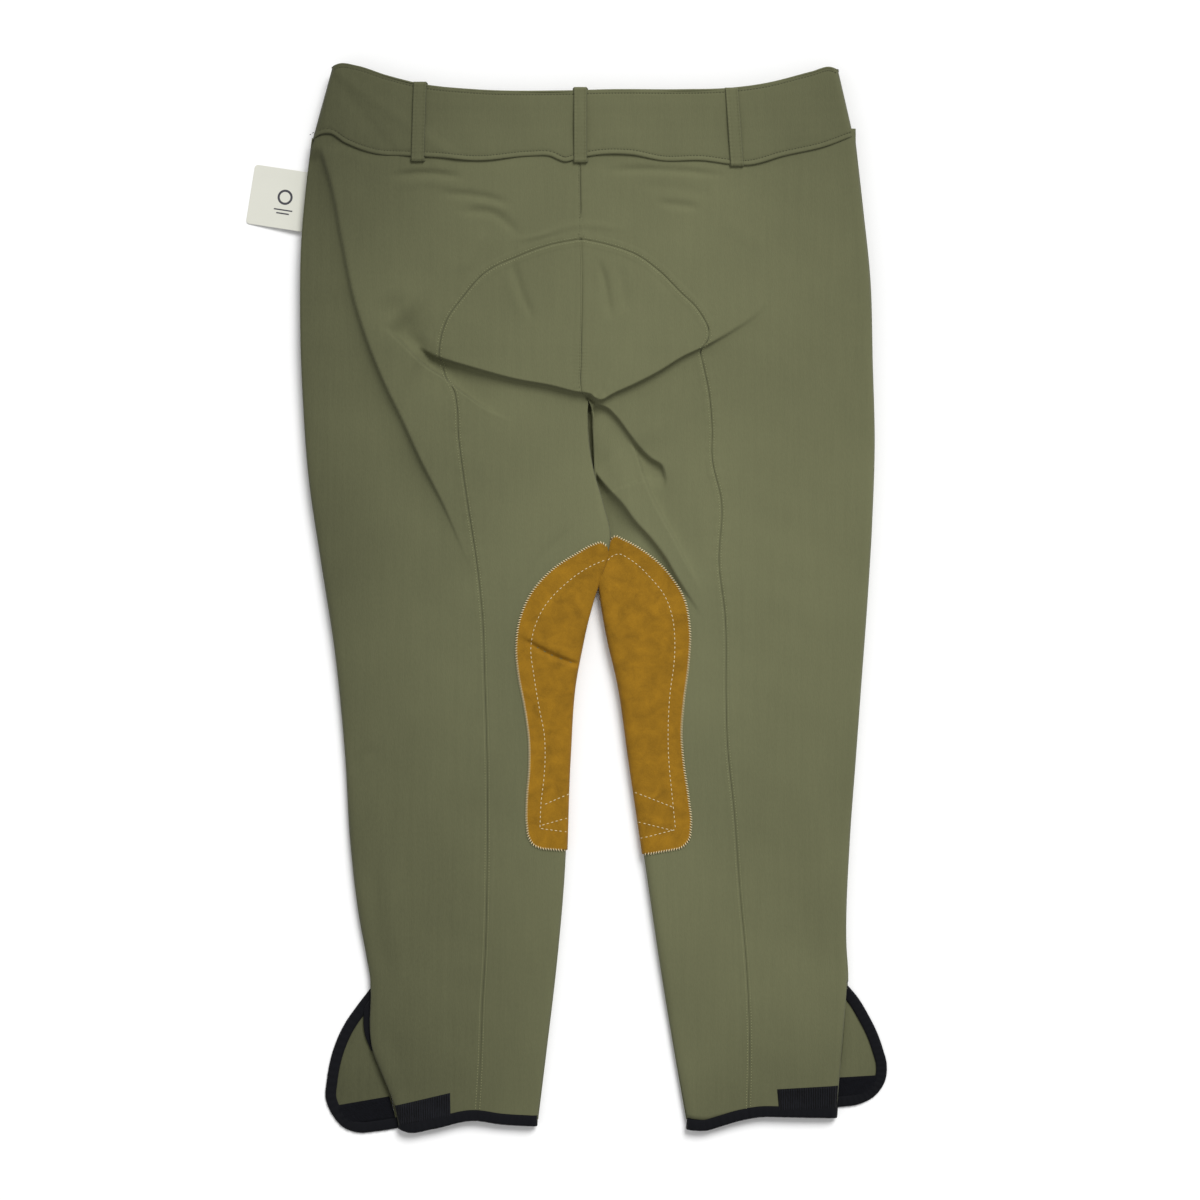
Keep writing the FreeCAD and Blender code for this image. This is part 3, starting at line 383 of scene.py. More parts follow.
def edge_distances(word, x, y, front=False):
    """Distance in from the outer edge and, below the crotch, from the inner edge."""
    side = SIDES[word]
    outer = side * (edge_x(word, "front_outer" if front else "outer", y) - x)
    inner = side * (x - edge_x(word, "front_inner" if front else "inner", y))
    inner = np.where(y > CROTCH, 99, inner + np.clip(y - 24, 0, 40) * 1.5)
    return np.clip(outer, 0, None), np.clip(inner, 0, None)


def rounded(distance, radius):
    """Rise of a rounded edge: 0 at the edge, 1 a radius in."""
    near = 1 - np.clip(distance / radius, 0, 1)
    return np.sqrt(np.clip(1 - near**2, 0, 1))


SEAM_CURVES = []
for word in SIDES:
    SEAM_CURVES.append(smooth(LEG_SEAM[word] + SEAT_ARC[word][1:], 160))
SEAM_CURVES.append(smooth(CENTRE_SEAM[1:], 60))


def nearby(curve, x, y, reach):
    low = curve.min(0) - reach
    high = curve.max(0) + reach
    return (x > low[0]) & (x < high[0]) & (y > low[1]) & (y < high[1])


GROOVE_DEPTH = 0.42
ALLOWANCE_RISE = 0.2
PUCKER_RISE = 0.10
SEAM_REACH = 20


def seam_grooves(x, y):
    """A narrow groove along each seam, a low rise on both sides where the allowances lie, and puckers."""
    height = np.zeros(x.shape)
    for curve in SEAM_CURVES:
        near = nearby(curve, x, y, SEAM_REACH)
        away, share, _ = offsets(curve, x[near], y[near])
        groove = -GROOVE_DEPTH * np.exp(-((away / 0.7) ** 2))
        groove += ALLOWANCE_RISE * np.exp(-(((np.abs(away) - 3.4) / 2.2) ** 4))
        groove += PUCKER_RISE * np.sin(share * 430) * np.exp(-((away / 7) ** 2))
        height[near] += groove
    return height


def undulation(x, y):
    """Slow, even unevenness of cloth that was smoothed out by hand."""
    wave = 0.45 * np.sin(x * 0.045 + 1.3) * np.sin(y * 0.021 + 0.4)
    wave += 0.30 * np.sin(x * 0.031 + y * 0.037 + 2.0)
    wave += 0.16 * np.sin(x * 0.11 - y * 0.043 + 0.7)
    wave += 0.09 * np.sin(x * 0.07 + y * 0.16 + 2.1) * np.sin(x * 0.023 + 1.0)
    return wave


def tuck(word, x, y):
    """The right leg lies lower where the left thigh's edge lies over it."""
    if word == "left":
        return np.zeros(x.shape)
    along = step((y + 122) / 26) * step((20 - y) / 40)
    past = x - edge_x("left", "inner", y)
    return -5.6 * along * (1 - step((past + 1) / 26))


def back_point(word, x, y, lift=0.0):
    """A point of the back layer of one leg: rounded off at both edges, folded and seamed."""
    outer, inner = edge_distances(word, x, y)
    height, shift = fold_shape(word, x, y)
    height = height + undulation(x, y) + seam_grooves(x, y) + tuck(word, x, y)
    under_band = step((np.interp(x, *BAND_LINE.T) + 1 - y) / 10)
    outer_rise = rounded(outer, BACK_RADIUS)
    open_crotch = step((y + 60) / 30) * step((50 - y) / 15)
    inner_rise = rounded(inner, BACK_RADIUS - 5.0 * open_crotch)
    rise = outer_rise * inner_rise
    z = back_level(y) - EDGE_FALL * (1 - rise) + height * (0.25 + 0.75 * rise) * under_band
    place = np.stack([x, y], -1) + shift * (rise * under_band)[..., None]
    return np.stack([place[..., 0], place[..., 1], z + lift], -1)


def front_point(word, x, y, lift=0.0):
    """A point of the front layer of one leg, which lies on the floor."""
    outer, inner = edge_distances(word, x, y, front=True)
    outer_rise = 1 - (1 - rounded(outer, BACK_RADIUS)) * step((y - SLIT_TOP + 4) / 20)
    rise = outer_rise * rounded(inner, BACK_RADIUS)
    z = front_level(y) + EDGE_FALL * (1 - rise)
    return np.stack([x + 0 * z, y + 0 * z, z + lift], -1)


# ---------------------------------------------------------------- making meshes


def grid(columns, rows):
    """A grid of faces and each vertex's place across and along, from 0 to 1."""
    mesh = bpy.data.meshes.new("grid")
    work = bmesh.new()
    bmesh.ops.create_grid(work, x_segments=columns, y_segments=rows, size=0.5, calc_uvs=True)
    work.to_mesh(mesh)
    work.free()
    flat = np.zeros(len(mesh.vertices) * 3)
    mesh.vertices.foreach_get("co", flat)
    flat = flat.reshape(-1, 3)
    return mesh, flat[:, 0] + 0.5, flat[:, 1] + 0.5


def take(curve, share):
    """Points of a sampled curve at shares of its length."""
    at = np.linspace(0, 1, len(curve))
    return np.stack([np.interp(share, at, curve[:, i]) for i in range(2)], -1)


def spread(name, mesh, points, flip=False, merge=0.02):
    """An object whose vertices take these places, given in millimetres."""
    mesh.name = name
    mesh.vertices.foreach_set("co", (np.asarray(points) * MM).ravel())
    mesh.update()
    work = bmesh.new()
    work.from_mesh(mesh)
    bmesh.ops.remove_doubles(work, verts=work.verts, dist=merge * MM)
    if flip:
        bmesh.ops.reverse_faces(work, faces=work.faces)
    for face in work.faces:
        face.smooth = True
    work.to_mesh(mesh)
    work.free()
    piece = bpy.data.objects.new(name, mesh)
    bpy.context.scene.collection.objects.link(piece)
    return piece


def thicken(piece, thickness):
    """Give a sheet its thickness, in millimetres, below the face that was shaped."""
    solid = piece.modifiers.new("Thickness", "SOLIDIFY")
    solid.thickness = thickness * MM
    solid.offset = -1.0
    solid.use_even_offset = False
    return piece


def settle(piece, body, slot_name, finish, replaced=()):
    """Finish a piece: its material, its body if one is given, and the nodes that it stands for."""
    piece.data.materials.clear()
    piece.data.materials.append(bpy.data.materials[finish])
    if body:
        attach(piece, body)
    if replaced:
        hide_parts(*replaced)
    return piece


def lay(piece, slot_name, finish, node):
    """Finish a sheet that belongs to the breeches and stands for one node."""
    settle(piece, BODY, slot_name, finish, (node,))


# ---------------------------------------------------------------- materials


def node_group(name, inputs, outputs):
    group = bpy.data.node_groups.new(name, "ShaderNodeTree")
    for label, kind, value in inputs:
        socket = group.interface.new_socket(label, in_out="INPUT", socket_type=kind)
        socket.default_value = value
    for label, kind in outputs:
        group.interface.new_socket(label, in_out="OUTPUT", socket_type=kind)
    start = group.nodes.new("NodeGroupInput")
    end = group.nodes.new("NodeGroupOutput")
    return group, start, end


def link(tree, *pairs):
    for source, target in pairs:
        tree.links.new(source, target)


def maths(tree, operation, first, second=None):
    node = tree.nodes.new("ShaderNodeMath")
    node.operation = operation
    for socket, value in zip(node.inputs, (first, second)):
        if value is None:
            continue
        if isinstance(value, (int, float)):
            socket.default_value = value
        else:
            tree.links.new(value, socket)
    return node.outputs[0]


def noise(tree, place, scale, detail, **more):
    """A noise texture's value. The scale is a number or a socket."""
    node = tree.nodes.new("ShaderNodeTexNoise")
    node.inputs["Detail"].default_value = detail
    for label, value in more.items():
        node.inputs[label].default_value = value
    link(tree, (place, node.inputs["Vector"]))
    if isinstance(scale, (int, float)):
        node.inputs["Scale"].default_value = scale
    else:
        link(tree, (scale, node.inputs["Scale"]))
    return node.outputs["Fac"]


def drawn_out(tree, place, along):
    """Places squeezed along Y, so that a pattern on them is drawn out that way."""
    node = tree.nodes.new("ShaderNodeMapping")
    node.inputs["Scale"].default_value = (1.0, along, 1.0)
    link(tree, (place, node.inputs["Vector"]))
    return node.outputs["Vector"]


def blend_of(tree, first, first_share, second, second_share):
    """Two values, each times its share, added."""
    return maths(tree, "ADD", maths(tree, "MULTIPLY", first, first_share),
                 maths(tree, "MULTIPLY", second, second_share))


def swing_about(tree, value, middle, share):
    """How far a value is from its middle, times a share."""
    return maths(tree, "MULTIPLY", maths(tree, "SUBTRACT", value, middle), share)


def shade_of(tree, color, light):
    """A colour made lighter or darker by a value."""
    grey = tree.nodes.new("ShaderNodeCombineColor")
    for channel in grey.inputs:
        link(tree, (light, channel))
    tint = tree.nodes.new("ShaderNodeMix")
    tint.data_type = "RGBA"
    tint.blend_type = "MULTIPLY"
    tint.inputs["Factor"].default_value = 1.0
    link(tree, (color, tint.inputs["A"]), (grey.outputs[0], tint.inputs["B"]))
    return tint.outputs["Result"]


def squared_distance(tree, place):
    """Squared distance from the middle of the breeches, counted more across than along. It sets the painted
    shade that darkens the cloth towards the sides.
    """
    centred = tree.nodes.new("ShaderNodeVectorMath")
    centred.operation = "SUBTRACT"
    centred.inputs[1].default_value = (0.07, -0.05, 0.0)
    weighted = tree.nodes.new("ShaderNodeVectorMath")
    weighted.operation = "MULTIPLY"
    weighted.inputs[1].default_value = (2.1, 0.9, 0.0)
    squared = tree.nodes.new("ShaderNodeVectorMath")
    squared.operation = "DOT_PRODUCT"
    link(tree, (place, centred.inputs[0]), (centred.outputs[0], weighted.inputs[0]),
         (weighted.outputs[0], squared.inputs[0]), (weighted.outputs[0], squared.inputs[1]))
    return squared.outputs["Value"]


EFFECT_OUTPUTS = [
    ("Color", "NodeSocketColor"), ("Height", "NodeSocketFloat"), ("Roughness", "NodeSocketFloat"),
]
# Length of one band of the wave texture at a scale of 1.
WAVE_LENGTH = 0.314


def weave_group():
    """Woven cloth: diagonal twill ribs, uneven yarn, slow random changes of tone, and painted shade that
    deepens towards the sides.
    """
    group, start, end = node_group(
        "Woven cloth",
        [("Color", "NodeSocketColor", (0.1, 0.1, 0.1, 1)), ("Ribs per metre", "NodeSocketFloat", 900),
         ("Unevenness", "NodeSocketFloat", 0.25), ("Angle", "NodeSocketFloat", 0.5),
         ("Painted shade at sides", "NodeSocketFloat", 0.0), ("Mottle", "NodeSocketFloat", 0.0)],
        EFFECT_OUTPUTS,
    )
    given = start.outputs
    place = group.nodes.new("ShaderNodeTexCoord").outputs["Object"]
    turn = group.nodes.new("ShaderNodeVectorRotate")
    turn.rotation_type = "Z_AXIS"
    ribs = group.nodes.new("ShaderNodeTexWave")
    ribs.wave_type = "BANDS"
    ribs.bands_direction = "X"
    ribs.inputs["Distortion"].default_value = 0.6
    ribs.inputs["Detail Scale"].default_value = 2.0
    scale = maths(group, "MULTIPLY", given["Ribs per metre"], WAVE_LENGTH)
    link(group, (place, turn.inputs["Vector"]), (given["Angle"], turn.inputs["Angle"]),
         (turn.outputs["Vector"], ribs.inputs["Vector"]), (scale, ribs.inputs["Scale"]))
    yarn = noise(group, drawn_out(group, place, 0.35), 900, 3)
    patchy = noise(group, place, 14, 2)
    streak = noise(group, drawn_out(group, place, 0.05), 420, 3)
    broad = noise(group, place, 5.5, 1)
    height = blend_of(group, ribs.outputs["Fac"], 0.5, yarn, 0.7)
    # The colour follows the rib and yarn height as well as the patches: lighter on the crests and darker in
    # the grooves, partly the yarn's own tone and partly painted shade.
    shade = maths(group, "SUBTRACT", blend_of(group, height, 0.7, patchy, 0.5), 0.67)
    shade = maths(group, "ADD", shade, swing_about(group, streak, 0.5, 0.3))
    # Painted shade: the colour darkens with the squared distance from the middle, so the sides of the
    # breeches come out darker, as if less lit.
    painted_side_shade = maths(group, "MULTIPLY", squared_distance(group, place), given["Painted shade at sides"])
    mottle = swing_about(group, broad, 0.5, given["Mottle"])
    light = maths(group, "ADD", maths(group, "MULTIPLY", shade, given["Unevenness"]), 1.0)
    light = maths(group, "SUBTRACT", maths(group, "ADD", light, mottle), painted_side_shade)
    rough = maths(group, "ADD", maths(group, "MULTIPLY", yarn, 0.12), 0.78)
    link(group, (shade_of(group, given["Color"], light), end.inputs["Color"]), (height, end.inputs["Height"]),
         (rough, end.inputs["Roughness"]))


def nap_group():
    """Brushed surface of suede or loop tape: short fibres, brushed patches and fine pores."""
    group, start, end = node_group(
        "Nap",
        [("Color", "NodeSocketColor", (0.3, 0.2, 0.05, 1)), ("Fibres", "NodeSocketFloat", 1400),
         ("Patches", "NodeSocketFloat", 40), ("Contrast", "NodeSocketFloat", 0.5)],
        EFFECT_OUTPUTS,
    )
    given = start.outputs
    place = group.nodes.new("ShaderNodeTexCoord").outputs["Object"]
    fibre = noise(group, place, given["Fibres"], 4, Roughness=0.7)
    brushed = noise(group, place, given["Patches"], 5, Roughness=0.62, Distortion=0.4)
    mixed = blend_of(group, fibre, 0.5, brushed, 0.9)
    light = maths(group, "ADD", swing_about(group, mixed, 0.7, given["Contrast"]), 1.0)
    rough = maths(group, "ADD", maths(group, "MULTIPLY", brushed, 0.15), 0.78)
    link(group, (shade_of(group, given["Color"], light), end.inputs["Color"]), (mixed, end.inputs["Height"]),
         (rough, end.inputs["Roughness"]))


def shaded(name, group_name, values, bump, bump_depth, sheen=0.0, specular=0.3):
    """A material whose colour, roughness and bump come from a group."""
    material = bpy.data.materials.new(name)
    material.use_nodes = True
    tree = material.node_tree
    shader = tree.nodes["Principled BSDF"]
    effect = tree.nodes.new("ShaderNodeGroup")
    effect.node_tree = bpy.data.node_groups[group_name]
    for label, value in values.items():
        effect.inputs[label].default_value = value
    normal = tree.nodes.new("ShaderNodeBump")
    normal.inputs["Strength"].default_value = bump
    normal.inputs["Distance"].default_value = bump_depth
    link(tree, (effect.outputs["Color"], shader.inputs["Base Color"]),
         (effect.outputs["Roughness"], shader.inputs["Roughness"]),
         (effect.outputs["Height"], normal.inputs["Height"]),
         (normal.outputs["Normal"], shader.inputs["Normal"]))
    shader.inputs["Sheen Weight"].default_value = sheen
    shader.inputs["Sheen Roughness"].default_value = 0.5
    shader.inputs["Specular IOR Level"].default_value = specular
    return material


def plain(name, color, roughness, metallic=0.0):
    material = bpy.data.materials.new(name)
    material.use_nodes = True
    shader = material.node_tree.nodes["Principled BSDF"]
    shader.inputs["Base Color"].default_value = (*color, 1)
    shader.inputs["Roughness"].default_value = roughness
    shader.inputs["Metallic"].default_value = metallic
    return material


def tone(color, share=1.0):
    """A colour, or a darker or lighter one of the same hue, with its alpha."""
    return (*(channel * share for channel in color), 1)


def nap(color, fibres, patches, contrast):
    return {"Color": color, "Fibres": fibres, "Patches": patches, "Contrast": contrast}


def make_materials(finish):
    """Every finish. After the values come the bump's strength and its depth in metres."""
    weave_group()
    nap_group()
    # The twill gets painted shade towards its sides. Its mottle is random tone.
    weave = {"Color": tone(finish.twill), "Ribs per metre": 1100, "Unevenness": 0.3, "Angle": 0.0,
             "Painted shade at sides": 1.0, "Mottle": 0.3}
    band = {**weave, "Color": tone(finish.twill, 0.95), "Angle": 1.57}
    trim = {"Color": tone(finish.trim), "Ribs per metre": 1400, "Unevenness": 0.5, "Angle": 0.0}
    # The hook tape's large unevenness makes the crests of the hook rows much lighter and the grooves between
    # them darker: a painted highlight on the hooks and painted shade between the rows.
    hooks = {"Color": tone(finish.trim, 1.15), "Ribs per metre": 510, "Unevenness": 4.2, "Angle": 0.0}
    shaded("olive twill", "Woven cloth", weave, 0.45, 0.0004, sheen=0.05, specular=0.15)
    shaded("band twill", "Woven cloth", band, 0.45, 0.0004, sheen=0.05, specular=0.15)
    shaded("edge binding", "Woven cloth", trim, 0.6, 0.0004, sheen=0.02, specular=0.15)
    shaded("touch hooks", "Woven cloth", hooks, 1.0, 0.0008, sheen=0.02, specular=0.2)
    shaded("woven elastic", "Woven cloth", {**trim, "Color": (0.03, 0.03, 0.03, 1)}, 0.6, 0.0004)
    shaded("zip tape", "Woven cloth", {**weave, "Ribs per metre": 1500}, 0.6, 0.0003)
    for name, color in (
        ("seam thread", tone(finish.twill, 1.9)),
        ("patch thread", tone(finish.thread)),
        ("dark thread", tone(finish.twill, 0.45)),
    ):
        thread = {"Color": color, "Ribs per metre": 2500, "Unevenness": 0.3, "Angle": 0.6}
        shaded(name, "Woven cloth", thread, 0.5, 0.0003)
    suede = nap(tone(finish.suede), 1100, 75, 1.1)
    shaded("knee suede", "Nap", suede, 0.7, 0.0006, sheen=0.05, specular=0.12)
    loops = nap(tone(finish.trim), 2400, 300, 1.6)
    shaded("touch loops", "Nap", loops, 0.9, 0.0008, sheen=0.02, specular=0.1)
    shaded("card stock", "Nap", nap(tone(finish.card), 900, 25, 0.06), 0.12, 0.0002)
    shaded("printed ink", "Nap", nap((0.06, 0.06, 0.07, 1), 900, 60, 0.5), 0.05, 0.0001)
    shaded("zip coil", "Nap", nap(tone(finish.twill, 0.8), 1800, 200, 0.4), 0.2, 0.0002, specular=0.4)
    metal = shaded("satin metal", "Nap", nap((0.5, 0.49, 0.46, 1), 700, 120, 0.15), 0.08, 0.0001)
    metal.node_tree.nodes["Principled BSDF"].inputs["Metallic"].default_value = 1.0


# ---------------------------------------------------------------- cloth pieces


def share_at(curve, height):
    """Share of a rising curve's length at which it reaches a height."""
    at = np.linspace(0, 1, len(curve))
    return float(np.interp(height, np.maximum.accumulate(curve[:, 1]), at))


def level_rows(left, right, heights, v):
    """Points on two rising curves at v, where the marked heights of one face those of the other."""
    marks = np.linspace(0, 1, len(heights) + 2)
    found = []
    for curve in (left, right):
        shares = [0] + [share_at(curve, h) for h in heights] + [1]
        found.append(take(curve, np.interp(v, marks, shares)))
    return found


def dense_ends(u, strength=0.55):
    """Shares moved towards both ends, where the cloth turns over the edge."""
    return u - strength * np.sin(2 * np.pi * u) / (2 * np.pi)


def rows_between(left, right, columns, rows, heights=(), strength=0.35):
    """A grid mesh and the flat place of each of its vertices, between two curves."""
    mesh, u, v = grid(columns, rows)
    if heights:
        start, end = level_rows(left, right, heights, v)
    else:
        start, end = take(left, v), take(right, v)
    u = dense_ends(u, strength)
    return mesh, start + (end - start) * u[:, None], v


LEG_HEIGHTS = (-340, -150, -75, 5, 75, 150)
SEAT_HEIGHTS = (-340, -150, -80, -15, 35, 80)


def leg_seam_curve(word):
    return smooth(LEG_SEAM[word] + SEAT_ARC[word][1:], 400)


def size_of(name):
    """One of the sizes in the property group, in millimetres."""
    return getattr(bpy.context.scene.breeches, name) / MM


def above_hem(word, flat, v, gap):
    """Heights of a panel's vertices, moved so that its lowest rows follow the hem's wavy line."""
    line = smooth(HEM_LINE[word], 120)
    line = line[np.argsort(line[:, 0])]
    hem = np.interp(flat[:, 0], line[:, 0], line[:, 1]) + gap
    chord = np.interp(flat[:, 0], line[[0, -1], 0], line[[0, -1], 1])
    followed = flat[:, 1] + (hem - chord) * (1 - step(v / 0.05))
    return np.maximum(followed, hem)


def back_outer_panel(word):
    outer = np.vstack([EDGES[word, "outer"][::6], [[SIDES[word] * 228, 264]]])
    outer = smooth(outer.tolist(), 400)
    centre = [(-5, 170), (-5.3, 195), (-5.8, 220), (-6, 247)]
    seam = np.vstack([leg_seam_curve(word)[:-3:4], centre])
    seam = smooth(seam.tolist(), 500)
    mesh, flat, v = rows_between(outer, seam, 100, 420, LEG_HEIGHTS)
    flat[:, 1] = above_hem(word, flat, v, 1.6)
    points = back_point(word, flat[:, 0], flat[:, 1])
    return spread(f"back_outer_panel_{word}_cloth", mesh, points, flip=word == "right")


def seat_panel(word):
    inner = smooth(INNER_EDGE[word][:-1] + CENTRE_SEAM[:9], 400)
    mesh, flat, v = rows_between(leg_seam_curve(word), inner, 84, 420, SEAT_HEIGHTS)
    flat[:, 1] = above_hem(word, flat, v, 1.6)
    points = back_point(word, flat[:, 0], flat[:, 1])
    return spread(f"seat_panel_{word}_cloth", mesh, points, flip=word == "right")


def front_panel(word):
    side = SIDES[word]
    outer = EDGES[word, "front_outer"]
    centre = [(side * 0.3, 60), (side * 0.3, 88), (side * 4.4, 93), (side * 4.6, 120), (side * 4.6, 222)]
    inner = smooth(INNER_FRONT[word][:-1] + centre, 400)
    mesh, flat, v = rows_between(outer, inner, 60, 280, LEG_HEIGHTS[:-1], 0.5)
    flat[:, 1] = above_hem(word, flat, v, 4.0)
    points = front_point(word, flat[:, 0], flat[:, 1])
    return spread(f"front_panel_{word}_cloth", mesh, points, flip=word == "left")


def edge_wall(word, which):
    """The strip that closes a leg along one edge, from the back layer down to the front layer."""
    side = SIDES[word] * (1 if which == "outer" else -1)
    low = SLIT_TOP + 2 if which == "outer" else -578
    high = 256 if which == "outer" else 34
    mesh, u, v = grid(8, 260)
    y = low + (high - low) * v
    back_x = edge_x(word, which, y)
    front_x = edge_x(word, f"front_{which}", y)
    top = back_point(word, back_x, y)
    low_z = front_point(word, front_x, y)[:, 2]
    fall = top[:, 2] - low_z
    overlap = np.clip(np.abs(back_x - front_x) / 10, 0, 1)
    knots = [
        (top[:, 0], top[:, 2]),
        (back_x + side * 0.9, top[:, 2] - 0.3 * fall),
        (front_x + side * 0.9, low_z + (0.3 + 0.5 * overlap) * fall),
        (front_x, low_z),
    ]
    if (word, which) == ("right", "inner"):
        upright = step((y + 60) / 30)
        knots[1] = (back_x - 0.9 * (1 - upright), top[:, 2] - 0.6 * fall)
        knots[2] = (front_x - 0.9 + upright * (back_x - front_x + 1.2), low_z + 0.12 * fall)
    weights = [(1 - u) ** 3, 3 * u * (1 - u) ** 2, 3 * u**2 * (1 - u), u**3]
    x = sum(w * knot[0] for w, knot in zip(weights, knots))
    z = sum(w * knot[1] for w, knot in zip(weights, knots))
    name = f"{'side' if which == 'outer' else 'inner'}_seam_{word}_cloth"
    return spread(name, mesh, np.stack([x, top[:, 1] + 0 * y, z], -1), flip=side < 0)


class BREECHES_OT_back_panels(bpy.types.Operator):
    """Outer and seat panels of the back, with their seams and the folds they lie in"""

    bl_idname = "breeches.back_panels"
    bl_label = "Back panels"

    def execute(self, context):
        for word in SIDES:
            outer = thicken(back_outer_panel(word), size_of("cloth_thickness"))
            lay(outer, "twill", "olive twill", f"back_outer_panel_{word}")
            seat = thicken(seat_panel(word), size_of("cloth_thickness"))
            lay(seat, "twill", "olive twill", f"seat_panel_{word}")
        return {"FINISHED"}


class BREECHES_OT_front_panels(bpy.types.Operator):
    """Front panels, which lie on the floor"""

    bl_idname = "breeches.front_panels"
    bl_label = "Front panels"

    def execute(self, context):
        for word in SIDES:
            front = thicken(front_panel(word), size_of("cloth_thickness"))
            lay(front, "twill", "olive twill", f"front_panel_{word}")
        return {"FINISHED"}


class BREECHES_OT_edge_seams(bpy.types.Operator):
    """Cloth that turns from the back layer to the front layer along the edges of each leg"""

    bl_idname = "breeches.edge_seams"
    bl_label = "Edge seams"

    def execute(self, context):
        for word in SIDES:
            for which, node in (("outer", "side_seam"), ("inner", "inner_seam")):
                wall = thicken(edge_wall(word, which), size_of("cloth_thickness"))
                settle(wall, BODY, "twill", "olive twill", (f"{node}_{word}",))
        return {"FINISHED"}


# ---------------------------------------------------------------- knee patches

PATCH_LIFT = 1.2
PATCH_EDGE_RADIUS = 6.0
# Shares of a patch's width at which it starts to turn over the leg's inner edge and lies on the front.
TURN_START, TURN_END = 0.42, 0.54
PATCH_FOOT = {"left": (-18.5, -348.5), "right": (49, -352)}


def patch_outline(word):
    """Back edge of a knee patch, from its foot corner up to its tip."""
    return smooth(PATCH_EDGE[word], 300)


def on_patch(word, lift=0.0):
    """Places on a knee patch, which stands a little clear of the leg's rounded edge."""

    def surface(x, y):
        points = back_point(word, x, y, PATCH_LIFT + lift)
        from_edge = np.abs(x - edge_x(word, "inner", y))
        points[:, 0] -= SIDES[word] * PATCH_LIFT * (1 - rounded(from_edge, PATCH_EDGE_RADIUS))
        return points

    return surface


def knee_patch(word):
    side = SIDES[word]
    back = patch_outline(word)
    front = smooth(PATCH_FRONT[word], 300)
    mesh, u, v = grid(120, 200)
    v = 1 - (1 - v) ** 1.15
    start = take(back, v)
    finish = take(front, v)
    low, high = PATCH_FOOT[word][1], back[-1, 1] - 5
    edge_y = low + (high - low) * v
    edge = edge_x(word, "inner", edge_y)
    under = edge_x(word, "front_inner", edge_y)
    across = np.clip(u / TURN_START, 0, 1)
    turn = np.clip((u - TURN_START) / (TURN_END - TURN_START), 0, 1)
    beyond = np.clip((u - TURN_END) / (1 - TURN_END), 0, 1)
    across = 1 - (1 - across) ** 1.5
    x = start[:, 0] + (edge - start[:, 0]) * across
    y = start[:, 1] + (edge_y - start[:, 1]) * across
    top = on_patch(word)(x, y)
    fx = under + (finish[:, 0] - under) * beyond
    fy = edge_y + (finish[:, 1] - edge_y) * beyond
    low_z = front_point(word, fx, fy)[:, 2]
    bottom = np.stack([fx, fy, low_z - PATCH_LIFT], -1)
    bottom[:, 0] -= side * PATCH_LIFT * (1 - rounded(np.abs(fx - under), PATCH_EDGE_RADIUS))
    bottom[:, 2] = np.maximum(bottom[:, 2], 0.1)
    bulge = np.sin(np.pi * turn)[:, None] * np.array([-side * 0.9, 0, 0])
    points = np.where((u <= TURN_START)[:, None], top, bottom)
    middle = (u > TURN_START) & (u < TURN_END)
    points[middle] = (top + (bottom - top) * turn[:, None] + bulge)[middle]
    return spread(f"knee_patch_{word}_suede", mesh, points, flip=word == "right", merge=0.001)


class BREECHES_OT_knee_patches(bpy.types.Operator):
    """Suede patches that wrap round the inner side of each knee"""

    bl_idname = "breeches.knee_patches"
    bl_label = "Knee patches"

    def execute(self, context):
        for word in SIDES:
            patch = thicken(knee_patch(word), size_of("patch_thickness"))
            lay(patch, "suede", "knee suede", f"knee_patch_{word}")
        return {"FINISHED"}


# ---------------------------------------------------------------- waistband

BAND_SKIN = 20.2
FRONT_SKIN = 6.2
BAND_MIDDLE = 13.2
# Share of the band's rows that lie flat. The rest turn over its top edge.
BAND_FLAT = 0.84
BAND_TURN_RADIUS = 1.7
ELASTIC_THICKNESS = 0.9


def band_surface(x, y, low, top, skin, outward):
    """Height of a band at each place: rolled edges with a stitched groove, and a slight crown."""
    low_y = np.interp(x, *low.T)
    top_y = np.interp(x, *top.T)
    up = y - low_y
    down = top_y - y
    z = 0.45 * step(up / 16) * step(down / 16)
    z -= 0.34 * np.exp(-(((up - 4.4) / 1.0) ** 2))
    z -= 0.34 * np.exp(-(((down - 3.6) / 1.0) ** 2))
    z += 0.28 * np.exp(-(((up - 1.8) / 1.4) ** 2))
    z -= 0.5 * (1 - step(down / 3.0))
    z -= 1.3 * (1 - rounded(up, 1.2))
    z += 0.3 * np.sin(x * 0.05 + 0.4) + 0.22 * np.sin(x * 0.11 + y * 0.07)
    z += 0.7 * np.exp(-((((x + 170) + (y - 280) * 1.4) / 9) ** 2))
    z -= 0.6 * np.exp(-((((x + 190) + (y - 275) * 0.8) / 7) ** 2))
    return skin + outward * z


def band(low_points, top_points, skin, outward, columns):
    """Grid and places of a strip of the waistband whose top edge turns over to its inner face."""
    low = smooth(low_points, 300)
    top = smooth(top_points, 300)
    mesh, u, v = grid(columns, 64)
    flat_v = np.clip(v / BAND_FLAT, 0, 1)
    turned = np.clip((v - BAND_FLAT) / (1 - BAND_FLAT), 0, 1)
    start, end = take(low, u), take(top, u)
    flat = start + (end - start) * dense_ends(flat_v, 0.72)[:, None]
    z = band_surface(flat[:, 0], flat[:, 1], low, top, skin, outward)
    angle = turned * np.pi
    crest = end[:, 1] - BAND_TURN_RADIUS
    y = np.where(turned > 0, crest + BAND_TURN_RADIUS * np.sin(angle), np.minimum(flat[:, 1], crest))
    edge_z = skin - outward * BAND_TURN_RADIUS * (1 - np.cos(angle))
    z = np.where(turned > 0, edge_z, z)
    left_x = np.interp(flat[:, 1], [254, 317], [-233, -216])
    right_x = np.interp(flat[:, 1], [257, 315], [226.3, 212.8])
    aside = rounded(np.clip(np.minimum(flat[:, 0] - left_x, right_x - flat[:, 0]), 0, None), 6.0)
    z = BAND_MIDDLE + (z - BAND_MIDDLE) * (0.04 + 0.96 * aside)
    return mesh, np.stack([flat[:, 0], y, z], -1)


